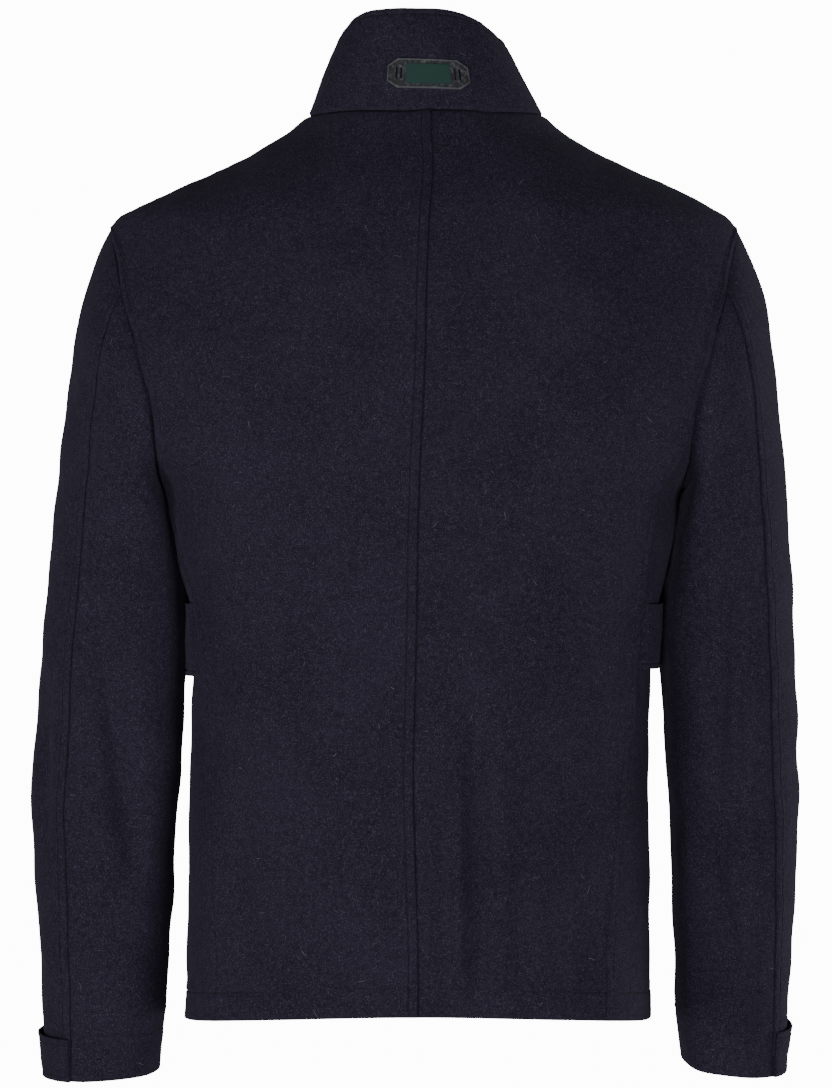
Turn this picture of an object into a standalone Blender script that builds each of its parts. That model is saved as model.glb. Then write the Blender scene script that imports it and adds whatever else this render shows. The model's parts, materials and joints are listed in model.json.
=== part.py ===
"""Short wool overcoat with a stand collar, closed and filled out in the pose of its wearer.

Frame: metres, +Z up. The wearer faces -Y, so +X is the wearer's left. The origin is the middle of the
neck opening, level with the collar seam at the back.

Every piece is a wall of cloth between a surface and the same surface moved inwards:
  body    level rings, each an oval with its own half width, depth behind and depth in front
  sleeve  rings that turn from the armhole, nearly upright, to nearly level at the cuff
  collar  rings between the neckline and the top edge of the collar
A piece is the stretch of one surface between its seams, and what lies on it is a stretch of the same
surface, moved out. Angles go round from the wearer's side (0) to the back (90) or the front (-90), in
degrees. A side of +1 is the wearer's left and -1 the right. Tables are in millimetres and degrees.
"""

import math

import bmesh
import bpy
import numpy as np
from mathutils import Matrix, Vector

MM = 0.001

# Cloth and seams
WALL = 2.4 * MM
COLLAR_WALL = 3.0 * MM
SEAM_GAP = 0.3 * MM
TURNED_GAP = 0.6 * MM
LYING_GAP = 0.65 * MM
STEP_ALONG = 24 * MM
STEP_ARMHOLE = 16 * MM
STEP_TIP = 5 * MM
CURVE_SAMPLES = 400
SHARP_EDGE = math.radians(35)
SHOULDER_ROWS = 8
TINY = 1e-6
SLOPE_TURN = 0.02
SLOPE_MOVE = 0.05 * MM

# Body
TIP_HEIGHT = -87.4 * MM
ARMPIT_HEIGHT = -286.8 * MM
ARMPIT_REACH = 60 * MM
FLARE_HEIGHT = -320 * MM
SIDE_HEM_HEIGHT = -694 * MM
BACK_HEM_RISE = 10 * MM
FRONT_HEM_DROP = 8 * MM
HEM_WARP_REACH = 160 * MM
FRONT_NECK_DROP = 66 * MM
NECK_CURVE = 6.0
SHOULDER_SEAM_TURN = -8.0
SIDE_FRONT_ANGLE = -30.0
LAP_WIDTH = 20 * MM
LAP_FLAT = 25 * MM
LAP_GAP = 0.8 * MM
LAP_EASE = 45 * MM
BACK_COLUMNS = 12
FRONT_COLUMNS = 9
SIDE_COLUMNS = 5

# Collar
COLLAR_TOP_HALF_WIDTH = 64 * MM
COLLAR_TOP_BACK = 51 * MM
COLLAR_TOP_FRONT = 68 * MM
COLLAR_TOP_SHIFT = -1.5 * MM
COLLAR_BACK_HEIGHT = 78 * MM
COLLAR_ROUND = 2.15
COLLAR_BULGE = 0.5 * MM
COLLAR_ROWS = 4

# Sleeves
SLEEVE_ROUND = 2.2
SLEEVE_HEAD_REACH = 42 * MM
SLEEVE_FRONT_SEAM = -122.0
SLEEVE_STEP = 24 * MM
SLEEVE_HEAD_STEP = 10 * MM
ARMHOLE_FACE = (0.98, -0.2)
LEAST_SLANT = 0.45
TOP_SLEEVE_COLUMNS = 11
UNDER_SLEEVE_COLUMNS = 9

# What lies on the panels
FLAP_HEIGHT = 52 * MM
FLAP_TOP = -375 * MM
FLAP_LENGTH = 150 * MM
FLAP_BACK_ANGLES = {1: 20.5, -1: 26.5}
FLAP_WALL = 2.8 * MM
FLAP_STAND_OFF = 3.2 * MM
FLAP_STAND_START = 35 * MM
FLAP_CORNER = 9 * MM
OPEN_CURVE = 1.5
FLAP_COLUMNS = 8
FLAP_ROWS = 3
STRAP_WIDTH = 32 * MM
STRAP_WALL = 2.6 * MM
STRAP_END_ANGLE = -84.0
STRAP_CORNER = 10 * MM
STRAP_COLUMNS = 9
STRAP_ROWS = 3
STRAP_TOP_OPEN = 1.6 * MM
BUTTON_RADIUS = 11.5 * MM
BUTTON_THICK = 4 * MM
BUTTON_PROFILE = ((0.8, 0.0), (1.0, 0.4), (0.94, 1.0), (0.76, 0.95), (0.66, 0.68))
BUTTON_SIDES = 12
BUTTON_HOLE_SIDES = 6
BUTTON_HOLE_RADIUS = 1.1 * MM
BUTTON_HOLE_SPACING = 2.3 * MM
BUTTON_GAP = 0.4 * MM
FRONT_BUTTONS = 5
FRONT_BUTTON_TOP = -86 * MM
FRONT_BUTTON_PITCH = 111 * MM
CUFF_BUTTON_SCALE = 0.74
CUFF_BUTTON_INSET = 14 * MM
BADGE_WIDTH = 61.3 * MM
BADGE_HEIGHT = 22.4 * MM
BADGE_TURN = -1.4
BADGE_CORNER_ALONG = 7.7 * MM
BADGE_CORNER_UP = 5.4 * MM
BADGE_THICK = 2.2 * MM
BADGE_RIM = 1.5 * MM
BADGE_SINK = 0.8 * MM
BADGE_CENTRE = (3.4 * MM, 27 * MM)
SLOT_WIDTH = 1.5 * MM
SLOT_HEIGHT = 9 * MM
SLOT_PLACES = (20.3 * MM, 23.8 * MM)
INLAY_WIDTH = 33 * MM
INLAY_HEIGHT = 15 * MM
INLAY_THICK = 0.8 * MM
BADGE_SLICES = 6
BADGE_ANGLES = (50, 130)


class Table:
    """Sizes in rows under named columns, read between the rows along a smooth curve."""

    def __init__(self, names, *rows):
        columns = np.array(sorted(rows), float).T
        self.places = columns[0]
        self.columns = dict(zip(names.split()[1:], columns[1:]))

    def __call__(self, name, place):
        """The column at a place: a cubic between two rows, its slopes set by the rows beside it."""
        x = self.places
        y = self.columns[name]
        steps = np.diff(x)
        rises = np.diff(y) / steps
        before, after = rises[:-1], rises[1:]
        same_way = before * after > 0
        mean = (before * steps[1:] + after * steps[:-1]) / (steps[1:] + steps[:-1])
        limit = 3 * np.minimum(abs(before), abs(after))
        slopes = np.concatenate([rises[:1], mean, rises[-1:]])
        slopes[1:-1] = np.where(same_way, np.sign(mean) * np.minimum(abs(mean), limit), 0)
        place = np.clip(np.asarray(place, float), x[0], x[-1])
        i = np.clip(np.searchsorted(x, place) - 1, 0, len(x) - 2)
        t = (place - x[i]) / steps[i]
        start = y[i] * (1 + 2 * t) * (1 - t) ** 2 + slopes[i] * steps[i] * t * (1 - t) ** 2
        end = y[i + 1] * t**2 * (3 - 2 * t) - slopes[i + 1] * steps[i] * t**2 * (1 - t)
        return start + end


# The body's rings, from the neckline to the hem. lean is how far a ring's middle lies to the left.
BODY = Table(
    "height half_width back front round lean",
    (12, 81, 56, 54, 2.1, -5.8),
    (0, 90.5, 60, 58, 2.1, -5.8),
    (-3.5, 94.3, 62, 59.5, 2.1, -5.7),
    (-18.9, 113.2, 69, 66, 2.1, -5.2),
    (-34.3, 141.3, 76.5, 71, 2.1, -6.3),
    (-49.7, 174, 84, 75.5, 2.1, -6.2),
    (-65.1, 208.7, 91, 80, 2.15, -5.4),
    (-80.5, 235.2, 97, 87, 2.2, -4.6),
    (-87.4, 239.9, 99, 91, 2.2, -4.6),
    (-125, 249, 109, 112, 2.3, -4.6),
    (-155, 253, 115, 126, 2.4, -4.6),
    (-195, 247, 120, 138, 2.4, -4.6),
    (-235, 233, 122, 144, 2.4, -4.6),
    (-261, 219, 122, 146, 2.4, -4.6),
    (-276, 208, 121.5, 147, 2.4, -4.6),
    (-286.8, 199.2, 121, 147, 2.4, -4.6),
    (-312.2, 194.5, 119, 146, 2.4, -4.6),
    (-352.3, 186.3, 116, 145, 2.4, -4.5),
    (-376.9, 181.4, 114.5, 143, 2.4, -4.4),
    (-403.9, 178.2, 113, 142, 2.4, -3.8),
    (-434.7, 176.3, 112, 141, 2.4, -3.0),
    (-496, 175.9, 111.5, 139.5, 2.4, -1.4),
    (-604, 177.8, 115.5, 141, 2.4, -0.4),
    (-694, 179.4, 120.5, 144, 2.4, 0),
    (-735, 180, 122, 145, 2.4, 0),
)

# The collar's top edge, from the left front's edge round the back to the right front's edge.
COLLAR_EDGE = Table(
    "angle height",
    (-100, 3),
    (-90, 4),
    (-60, 14),
    (-30, 34),
    (0, 54),
    (20, 59.5),
    (28, 64),
    (35, 68.5),
    (43, 73),
    (58, 77.2),
    (82, 78),
    (103, 77.5),
    (124, 73),
    (135, 68.5),
    (145, 64),
    (156, 59.5),
    (180, 54),
    (210, 34),
    (240, 14),
    (270, 4),
    (280, 3),
)

# The armhole's line: how far out it lies behind, and how much further in it is cut in front.
ARMHOLE = Table(
    "height reach front_cut",
    (-87.4, 239.9, 0),
    (-92.4, 238.7, 0.3),
    (-112.8, 233.7, 2),
    (-141, 228.7, 5),
    (-164.4, 222.3, 7),
    (-191.3, 214.8, 8),
    (-216, 207.1, 7),
    (-245.2, 203.3, 4),
    (-276, 200.8, 1),
    (-286.8, 199.2, 0),
)

# The seams that run up the back: how far the centre seam turns to the right, and the side-back seams.
BACK_SEAMS = Table(
    "height centre side_left side_right",
    (0, 2.6, 9, 32),
    (-90, 0.8, 9, 32),
    (-213, -0.1, 9, 32),
    (-286, -1.1, 10, 30.8),
    (-312, -1.4, 12, 30.5),
    (-354, -1.6, 17, 29.6),
    (-373, -1.7, 19.8, 28.7),
    (-403, -1.7, 22.8, 28),
    (-449, -1.7, 25.2, 27.8),
    (-489, -1.7, 27.3, 30.8),
    (-570, -0.9, 30.5, 35.6),
    (-656, -0.1, 33.8, 39.2),
    (-735, -0.1, 34, 40),
)

# The sleeves: the outer and the inner line of each as it hangs, its middle from front to back, half of
# its depth, where the hind-arm seam lies on it, and how much lower its back hangs than its middle.
# station is the way down the sleeve's middle.
SLEEVES = {
    1: Table(
        "station outer_x outer_z inner_x inner_z middle_y half_depth hind_seam drop",
        (0, 235.3, -87.4, 194.6, -286.8, -6, 80, 62, 0),
        (16, 247.2, -108.2, 195.2, -297, -6.5, 80, 62, 0),
        (37, 257.2, -135.9, 191.4, -311, -10, 80, 61, 0),
        (71, 266.0, -180.6, 186.6, -333, -17, 79, 61, 0),
        (114, 274.1, -238.4, 182.8, -360, -23, 76, 60, 0),
        (173, 282.6, -319.2, 179.7, -398, -26, 70, 60, 0),
        (238, 291.1, -403.9, 181.6, -443, -27, 64, 60, 0),
        (298, 296.5, -480.9, 181.9, -485, -28, 61, 61, 1),
        (343, 299.1, -528.1, 185.7, -528, -29, 59, 60, 1.5),
        (398, 297.0, -582.8, 188.8, -583, -32, 56, 61, 2.5),
        (457, 294.2, -641.7, 193.1, -641, -38, 53, 61, 3.3),
        (516, 291.4, -700.9, 197.9, -699, -49, 50, 61, 4),
        (556, 290.4, -742.5, 201.5, -738, -56, 49, 61, 4.5),
    ),
    -1: Table(
        "station outer_x outer_z inner_x inner_z middle_y half_depth hind_seam drop",
        (0, 244.5, -87.4, 203.8, -286.8, -6, 80, 61, 0),
        (16, 256.4, -108.2, 204.4, -297, -6.5, 80, 61, 0),
        (37, 265.7, -135.9, 200.6, -311, -10, 80, 60, 0),
        (71, 273.7, -180.6, 195.8, -333, -17, 79, 59, 0),
        (114, 280.7, -238.4, 191.8, -360, -23, 76, 58, 0),
        (173, 287.6, -319.2, 187.5, -398, -26, 70, 57, 0),
        (238, 291.8, -403.9, 190.4, -443, -27, 64, 57, 0),
        (298, 294.1, -480.9, 191.3, -485, -28, 61, 57, 1),
        (343, 295.3, -528.1, 194.3, -528, -29, 59, 56, 2),
        (398, 293.8, -582.8, 196.6, -583, -32, 56, 54, 3.5),
        (457, 290.4, -641.7, 199.0, -641, -38, 53, 50, 4.8),
        (516, 286.4, -700.9, 201.1, -699, -49, 50, 45, 6),
        (556, 285.1, -738.5, 205.4, -731, -56, 49, 44, 6.8),
    ),
}
SLEEVE_LENGTH = 556 * MM

# Folds: a soft trough (depth over 0) or ridge (under 0) from one angle and place to another.
BODY_FOLD_RADIUS = 176 * MM
BODY_FOLD_LIMITS = (-75 * MM, -110 * MM)
SLEEVE_FOLD_RADIUS = 58 * MM
SLEEVE_FOLD_LIMITS = (20 * MM, 60 * MM)
FOLD_FADE = 0.8
FOLD_COLUMNS = ("side", "from_angle", "from_place", "to_angle", "to_place", "width", "depth")
BODY_FOLDS = (
    (-1, 76.8, -440, 75.8, -690, 12, 3.5),
    (-1, 70.8, -430, 70.5, -690, 13, -2.2),
    (-1, 83.8, -520, 83.5, -690, 10, 2.2),
    (-1, 50, -560, 50, -715, 18, 2.5),
    (1, 44, -500, 46, -720, 18, 2.4),
    (1, -60, -420, -58, -700, 16, 3.0),
    (-1, -64, -450, -60, -715, 16, 2.8),
    (1, -48, -200, -60, -330, 15, 2.0),
    (-1, -46, -210, -58, -340, 15, 2.0),
)
SLEEVE_FOLDS = (
    (1, 78, 195, 118, 405, 13, 3.6),
    (1, 32, 250, 40, 380, 14, 2.6),
    (1, 118, 60, 60, 128, 12, 2.0),
    (-1, 84, 215, 96, 375, 13, 3.8),
    (-1, 120, 350, 82, 440, 13, 2.2),
    (-1, 112, 50, 64, 120, 12, 2.2),
    (1, -70, 190, -112, 330, 14, 3.4),
    (-1, -74, 200, -108, 345, 14, 3.2),
)

# Finishes: colour, roughness and metallic value
FINISHES = {
    "wool": ((0.0170, 0.0155, 0.0235), 0.95, 0.0),
    "rubber": ((0.022, 0.024, 0.024), 0.60, 0.0),
    "inlay": ((0.012, 0.070, 0.052), 0.70, 0.0),
    "button": ((0.014, 0.013, 0.016), 0.35, 0.0),
}


def clear_scene():
    """Removes whatever the scene holds."""
    for obj in list(bpy.data.objects):
        bpy.data.objects.remove(obj, do_unlink=True)


def finish(name):
    """The material of this name, made once."""
    if name in bpy.data.materials:
        return bpy.data.materials[name]
    colour, roughness, metallic = FINISHES[name]
    material = bpy.data.materials.new(name)
    material.use_nodes = True
    shader = material.node_tree.nodes["Principled BSDF"]
    shader.inputs["Base Color"].default_value = (*colour, 1)
    shader.inputs["Roughness"].default_value = roughness
    shader.inputs["Metallic"].default_value = metallic
    return material


def smooth_step(low, high, value):
    """0 below low, 1 above high and a smooth rise between them."""
    t = np.clip((np.asarray(value, float) - low) / (high - low), 0, 1)
    return t * t * (3 - 2 * t)


def oval(angle, roundness):
    """The point of a unit oval in this direction. A roundness of 2 is a circle, and more is squarer."""
    radians = np.radians(angle)
    across, along = np.cos(radians), np.sin(radians)
    size = (abs(across) ** roundness + abs(along) ** roundness) ** (1 / roundness)
    return across / size, along / size


def normals(surface, angle, place):
    """Unit outward normals of a surface: the cross product of its two slopes."""
    around = surface(angle + SLOPE_TURN, place) - surface(angle - SLOPE_TURN, place)
    along = surface(angle, place + SLOPE_MOVE) - surface(angle, place - SLOPE_MOVE)
    cross = np.cross(around, along)
    return cross / np.linalg.norm(cross, axis=-1, keepdims=True)


def fold_depth(folds, side, angle, place, radius):
    """How deep the folds press in: a bell across each fold that fades at both of its ends."""
    depth = np.zeros(np.broadcast(angle, place).shape)
    for row in folds:
        fold = dict(zip(FOLD_COLUMNS, row))
        if fold["side"] != side:
            continue
        start, end = fold["from_place"] * MM, fold["to_place"] * MM
        t = np.clip((place - start) / (end - start), 0, 1)
        middle = fold["from_angle"] + (fold["to_angle"] - fold["from_angle"]) * t
        across = np.radians(angle - middle) * radius / (fold["width"] * MM)
        depth = depth + fold["depth"] * MM * np.exp(-(across**2)) * np.sin(math.pi * t) ** FOLD_FADE
    return depth


# ---------------------------------------------------------------- body


def body_surface(side):
    """The body as a function of angle and height: level ovals about a middle that leans with height."""

    def surface(angle, height):
        angle, height = np.broadcast_arrays(angle, height)
        mm = height / MM
        across, along = oval(angle, BODY("round", mm))
        depth = np.where(along > 0, BODY("back", mm), BODY("front", mm))
        # The ring's point in this direction: the oval is scaled by its half width and depth.
        x = across * BODY("half_width", mm)
        y = along * depth
        return np.stack([side * x + BODY("lean", mm), y, mm], axis=-1) * MM

    return surface


def ring_angle(height, half_across, facing):
    """The angle at which a ring reaches this far from its middle, behind (1) or in front (-1)."""
    mm = height / MM
    roundness = BODY("round", mm)
    share = np.clip(half_across / MM / BODY("half_width", mm), -1, 1)
    along = (1 - abs(share) ** roundness) ** (1 / roundness)
    return facing * np.degrees(np.arctan2(along, share))


def armhole_angle(height, facing, inset=0.0):
    """The angle of the armhole's line on the ring at this height."""
    mm = height / MM
    reach = ARMHOLE("reach", mm)
    if facing < 0:
        reach = reach - ARMHOLE("front_cut", mm)
    return ring_angle(height, reach * MM - inset, facing)


def armhole_bottom(angle):
    """The height at which the armhole's lower stretch crosses this angle."""
    facing = np.where(np.asarray(angle) >= 0, 1, -1)
    heights = np.linspace(ARMPIT_HEIGHT, ARMPIT_HEIGHT + ARMPIT_REACH, CURVE_SAMPLES)
    behind = np.interp(angle, armhole_angle(heights, 1), heights)
    before = np.interp(-np.asarray(angle), -armhole_angle(heights, -1), heights)
    return np.where(facing > 0, behind, before)


def neck_height(angle):
    """The neckline: level behind and dropping in front with a power of the sine."""
    return -FRONT_NECK_DROP * np.maximum(-np.sin(np.radians(angle)), 0) ** NECK_CURVE


def hem_height(angle):
    """The hem, a little higher behind and lower in front."""
    sine = np.sin(np.radians(angle))
    rise = BACK_HEM_RISE * np.maximum(sine, 0) ** 2 - FRONT_HEM_DROP * np.minimum(sine, 0) ** 2
    return SIDE_HEM_HEIGHT + rise


def side_back_angle(side, height):
    """The side-back seam on this side."""
    return BACK_SEAMS("side_left" if side > 0 else "side_right", height / MM)


def centre_back_angle(side, height):
    """The centre-back seam, seen from this side."""
    return 90 + side * BACK_SEAMS("centre", height / MM)


def front_edge_angle(height):
    """The front's edge, one lap width past the middle of the front."""
    return -90 - np.degrees(np.arctan(LAP_WIDTH / MM / BODY("half_width", height / MM)))


def turn_for(surface, angle, height, distance):
    """The angle that covers this distance round the surface."""
    around = surface(angle + 0.5, height) - surface(angle - 0.5, height)
    return distance / np.linalg.norm(around, axis=-1)


def heights_between(keys, spacings):
    """Heights from one key height to the next, no further apart than that stretch's spacing."""
    stretches = []
    for start, end, spacing in zip(keys[:-1], keys[1:], spacings):
        count = max(1, math.ceil((end - start) / spacing))
        stretches.append(np.linspace(start, end, count, endpoint=False))
    return np.append(np.concatenate(stretches), keys[-1])


def crossing(side, facing):
    """The height where the side seam behind or in front runs into the armhole."""
    heights = np.linspace(ARMPIT_HEIGHT, ARMPIT_HEIGHT + ARMPIT_REACH, CURVE_SAMPLES)
    seam = side_back_angle(side, heights) if facing > 0 else -SIDE_FRONT_ANGLE
    return heights[np.argmax(abs(armhole_angle(heights, facing)) >= seam)]


def main_panel_grid(side, facing, columns):
    """Angles and heights of a back (facing 1) or front (-1), from its outer border to its middle."""
    surface = body_surface(side)
    share = np.linspace(0, 1, columns + 1)
    half_gap = SEAM_GAP / 2
    low = crossing(side, facing)
    keys = (SIDE_HEM_HEIGHT, FLARE_HEIGHT, low, TIP_HEIGHT - STEP_ARMHOLE, TIP_HEIGHT)
    heights = heights_between(keys, (STEP_ALONG, STEP_ARMHOLE, STEP_ARMHOLE, STEP_TIP))[:, None]

    inset = half_gap * (1 - smooth_step(TIP_HEIGHT - STEP_TIP, TIP_HEIGHT, heights))
    arm = abs(armhole_angle(np.clip(heights, ARMPIT_HEIGHT, TIP_HEIGHT), facing, inset))
    arm = np.maximum(arm, turn_for(surface, 0.0, heights, half_gap))
    arm = np.where(heights < low - TINY, 0, arm)
    if facing > 0:
        seam = side_back_angle(side, heights)
        middle = centre_back_angle(side, heights)
    else:
        seam = np.full_like(heights, -SIDE_FRONT_ANGLE)
        middle = -front_edge_angle(heights)
    seam = seam + turn_for(surface, facing * seam, heights, half_gap)
    seam = np.where(heights > low + TINY, 0, seam)
    border = np.maximum(arm, seam)
    middle_gap = turn_for(surface, facing * middle, heights, half_gap) * (facing > 0)
    angles = facing * (border + (middle - middle_gap - border) * share)
    fade = 1 - smooth_step(SIDE_HEM_HEIGHT, SIDE_HEM_HEIGHT + HEM_WARP_REACH, heights)
    lower = heights + (hem_height(angles) - SIDE_HEM_HEIGHT) * fade

    rise = (np.arange(1, SHOULDER_ROWS + 1) / SHOULDER_ROWS)[:, None]
    level = TIP_HEIGHT * (1 - rise)
    if facing > 0:
        middle = centre_back_angle(side, level)
    else:
        middle = -front_edge_angle(TIP_HEIGHT - (TIP_HEIGHT + FRONT_NECK_DROP) * rise)
    middle = middle - turn_for(surface, facing * middle, level, half_gap) * (facing > 0)
    seam = facing * SHOULDER_SEAM_TURN * rise
    seam = seam + turn_for(surface, facing * seam, level, half_gap)
    top_angles = facing * (seam + (middle - seam) * share)
    top = TIP_HEIGHT + (neck_height(top_angles) - half_gap - TIP_HEIGHT) * rise
    return np.vstack([angles, top_angles]), np.vstack([lower, top])


def side_panel_grid(side):
    """Angles and heights of the side panel: level rows that bend up to the bottom of the armhole."""
    surface = body_surface(side)
    share = np.linspace(0, 1, SIDE_COLUMNS + 1)
    half_gap = SEAM_GAP / 2
    keys = (SIDE_HEM_HEIGHT, FLARE_HEIGHT, ARMPIT_HEIGHT)
    heights = heights_between(keys, (STEP_ALONG, STEP_ARMHOLE))[:, None]
    back = side_back_angle(side, heights)
    back = back - turn_for(surface, back, heights, half_gap)
    front = SIDE_FRONT_ANGLE + turn_for(surface, SIDE_FRONT_ANGLE, heights, half_gap)
    angles = front + (back - front) * share
    top = armhole_bottom(angles[-1]) - half_gap
    rise = smooth_step(FLARE_HEIGHT, ARMPIT_HEIGHT, heights)
    heights = heights + (top - ARMPIT_HEIGHT) * rise
    fade = 1 - smooth_step(SIDE_HEM_HEIGHT, SIDE_HEM_HEIGHT + HEM_WARP_REACH, heights)
    return angles, heights + (hem_height(angles) - SIDE_HEM_HEIGHT) * fade


def lap_lift(side, angle, height):
    """How far the left front is lifted over the right one, which is pressed in by as much."""
    distance = abs(np.radians(angle + 90)) * BODY("half_width", height / MM) * MM
    past = np.where(angle < -90, 0, distance)
    near = 1 - smooth_step(LAP_FLAT, LAP_WIDTH + LAP_EASE, past)
    return side * near * (WALL + LAP_GAP) / 2


def body_lift(side, angle, height):
    """The folds and the front lap, as a distance outwards."""
    folds = -fold_depth(BODY_FOLDS, side, angle, height, BODY_FOLD_RADIUS)
    at_neck = smooth_step(*BODY_FOLD_LIMITS, height)
    return folds * at_neck + np.where(angle < 0, lap_lift(side, angle, height), 0)


# ---------------------------------------------------------------- sleeve


def sleeve_surface(side):
    """The sleeve as a function of angle and station: ovals between its outer and its inner line, which
    start as the armhole itself, a seam's gap further out."""
    table = SLEEVES[side]

    def surface(angle, station):
        angle, station = np.broadcast_arrays(angle, station)
        mm = station / MM
        across, along = oval(angle, SLEEVE_ROUND)
        outer = np.stack([table("outer_x", mm), table("outer_z", mm)])
        inner = np.stack([table("inner_x", mm), table("inner_z", mm)])
        x, z = (outer + inner) / 2 + (outer - inner) / 2 * across
        y = table("middle_y", mm) + along * table("half_depth", mm)
        z = z - along * table("drop", mm)

        start_z = (table("outer_z", 0) + table("inner_z", 0)) / 2
        start_z = start_z + (table("outer_z", 0) - table("inner_z", 0)) / 2 * across
        cut = np.where(along < 0, ARMHOLE("front_cut", start_z), 0)
        start_x = ARMHOLE("reach", start_z) - cut
        roundness = BODY("round", start_z)
        share = np.clip(start_x / BODY("half_width", start_z), 0, 1)
        depth = np.where(along > 0, BODY("back", start_z), BODY("front", start_z))
        start_y = np.sign(along) * depth * (1 - share**roundness) ** (1 / roundness)
        start_x = start_x + side * BODY("lean", start_z) + TURNED_GAP / MM
        at_armhole = 1 - smooth_step(0, SLEEVE_HEAD_REACH, station)
        x = x + (start_x - x) * at_armhole
        y = y + (start_y - y) * at_armhole
        z = z + (start_z - z) * at_armhole
        return np.stack([side * x, y, z], axis=-1) * MM

    return surface


def sleeve_grid(side, top_sleeve):
    """Angles and stations of the top sleeve or the under sleeve, from the armhole to the cuff."""
    surface = sleeve_surface(side)
    stations = heights_between((0, SLEEVE_HEAD_REACH, SLEEVE_LENGTH), (SLEEVE_HEAD_STEP, SLEEVE_STEP))[:, None]
    hind = SLEEVES[side]("hind_seam", stations / MM)
    front = np.full_like(hind, SLEEVE_FRONT_SEAM)
    if top_sleeve:
        start, end, columns = front, hind, TOP_SLEEVE_COLUMNS
    else:
        start, end, columns = hind, front + 360, UNDER_SLEEVE_COLUMNS
    start = start + turn_for(surface, start, stations, SEAM_GAP / 2)
    end = end - turn_for(surface, end, stations, SEAM_GAP / 2)
    share = np.linspace(0, 1, columns + 1)
    angles = start + (end - start) * share
    return angles, np.broadcast_to(stations, angles.shape)


def sleeve_lift(side, angle, station):
    """The sleeve's folds, as a distance outwards. They keep clear of the armhole and of the body."""
    turned = (np.asarray(angle) + 150) % 360 - 150
    folds = -fold_depth(SLEEVE_FOLDS, side, turned, station, SLEEVE_FOLD_RADIUS)
    return folds * smooth_step(*SLEEVE_FOLD_LIMITS, station)


def sleeve_inward(side, ring, inward):
    """The wall's way inwards at the armhole: along the normal, but within the armhole's own face where
    the normal would lead into the body."""
    out_of_body = np.array([side * ARMHOLE_FACE[0], 0, ARMHOLE_FACE[1]])
    into_face = np.cross(np.gradient(ring, axis=0), out_of_body)
    into_face /= np.linalg.norm(into_face, axis=-1, keepdims=True)
    share = (into_face * inward).sum(axis=-1, keepdims=True)
    into_face *= np.sign(share)
    leads_in = (inward * out_of_body).sum(axis=-1, keepdims=True) < 0
    return np.where(leads_in, into_face / np.maximum(abs(share), LEAST_SLANT), inward)


# ---------------------------------------------------------------- collar


def collar_surface():
    """The collar as a function of angle and rise (0 at the neckline, 1 at the top edge): straight lines
    between the two edges, with a slight bulge. Angles run all round, from the left side backwards."""
    body = body_surface(1)

    def surface(angle, rise):
        angle, rise = np.broadcast_arrays(angle, rise)
        seam = body(angle, neck_height(angle))
        across, along = oval(angle, COLLAR_ROUND)
        depth = np.where(along > 0, COLLAR_TOP_BACK, COLLAR_TOP_FRONT)
        x = COLLAR_TOP_SHIFT + across * COLLAR_TOP_HALF_WIDTH
        top = np.stack([x, along * depth, COLLAR_EDGE("height", angle) * MM], axis=-1)
        point = seam + (top - seam) * rise[..., None]
        swell = 4 * rise * (1 - rise) * COLLAR_BULGE
        return point + np.stack([across * swell, along * swell, 0 * swell], axis=-1)

    return surface


def collar_grid():
    """Angles and rises from the left front's edge, round the back, to the right front's edge. The columns
    stand over those of the panels below, so that the two edges of the seam run side by side."""
    necks = {}
    for side in (1, -1):
        necks[side, 1] = main_panel_grid(side, 1, BACK_COLUMNS)[0][-1]
        necks[side, -1] = main_panel_grid(side, -1, FRONT_COLUMNS)[0][-1]
    left = np.concatenate([necks[1, -1][:0:-1], necks[1, 1][:-1]])
    right = np.concatenate([180 - necks[-1, 1][:0:-1], 180 - necks[-1, -1]])
    angles = np.concatenate([left, right])
    rises = np.linspace(TURNED_GAP / COLLAR_BACK_HEIGHT, 1, COLLAR_ROWS + 1)[:, None]
    return np.broadcast_arrays(angles, rises)


def collar_lift(angle):
    """The collar's right end is pressed in under its left end, as the fronts are."""
    left = lap_lift(1, angle, neck_height(angle)) * (angle < 90)
    right = lap_lift(-1, 180 - angle, neck_height(angle)) * (angle >= 90)
    return (left + right) * (COLLAR_WALL + LAP_GAP) / (WALL + LAP_GAP)


# ---------------------------------------------------------------- meshes


def add_object(name, mesh, material):
    """Adds a mesh to the scene as a smooth-shaded object with its sharp edges kept."""
    if not mesh.materials:
        mesh.materials.append(finish(material))
    mesh.shade_smooth()
    mesh.set_sharp_from_angle(angle=SHARP_EDGE)
    obj = bpy.data.objects.new(name, mesh)
    bpy.context.scene.collection.objects.link(obj)
    return obj


def mesh_of(name, shape):
    """The mesh of a bmesh, its faces turned outwards."""
    bmesh.ops.recalc_face_normals(shape, faces=shape.faces)
    mesh = bpy.data.meshes.new(name)
    shape.to_mesh(mesh)
    shape.free()
    return mesh


def wall_mesh(name, outer, inner):
    """A closed wall between two grids of points, with a strip along each of its four borders."""
    rows, columns = outer.shape[:2]
    shape = bmesh.new()
    front, back = (
        [[shape.verts.new(point) for point in row] for row in grid.tolist()] for grid in (outer, inner)
    )
    for i in range(rows - 1):
        for j in range(columns - 1):
            shape.faces.new((front[i][j], front[i][j + 1], front[i + 1][j + 1], front[i + 1][j]))
            shape.faces.new((back[i][j], back[i + 1][j], back[i + 1][j + 1], back[i][j + 1]))
    for i in range(rows - 1):
        shape.faces.new((front[i][0], front[i + 1][0], back[i + 1][0], back[i][0]))
        shape.faces.new((front[i][-1], back[i][-1], back[i + 1][-1], front[i + 1][-1]))
    for j in range(columns - 1):
        shape.faces.new((front[0][j], back[0][j], back[0][j + 1], front[0][j + 1]))
        shape.faces.new((front[-1][j], front[-1][j + 1], back[-1][j + 1], back[-1][j]))
    return mesh_of(name, shape)


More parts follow.
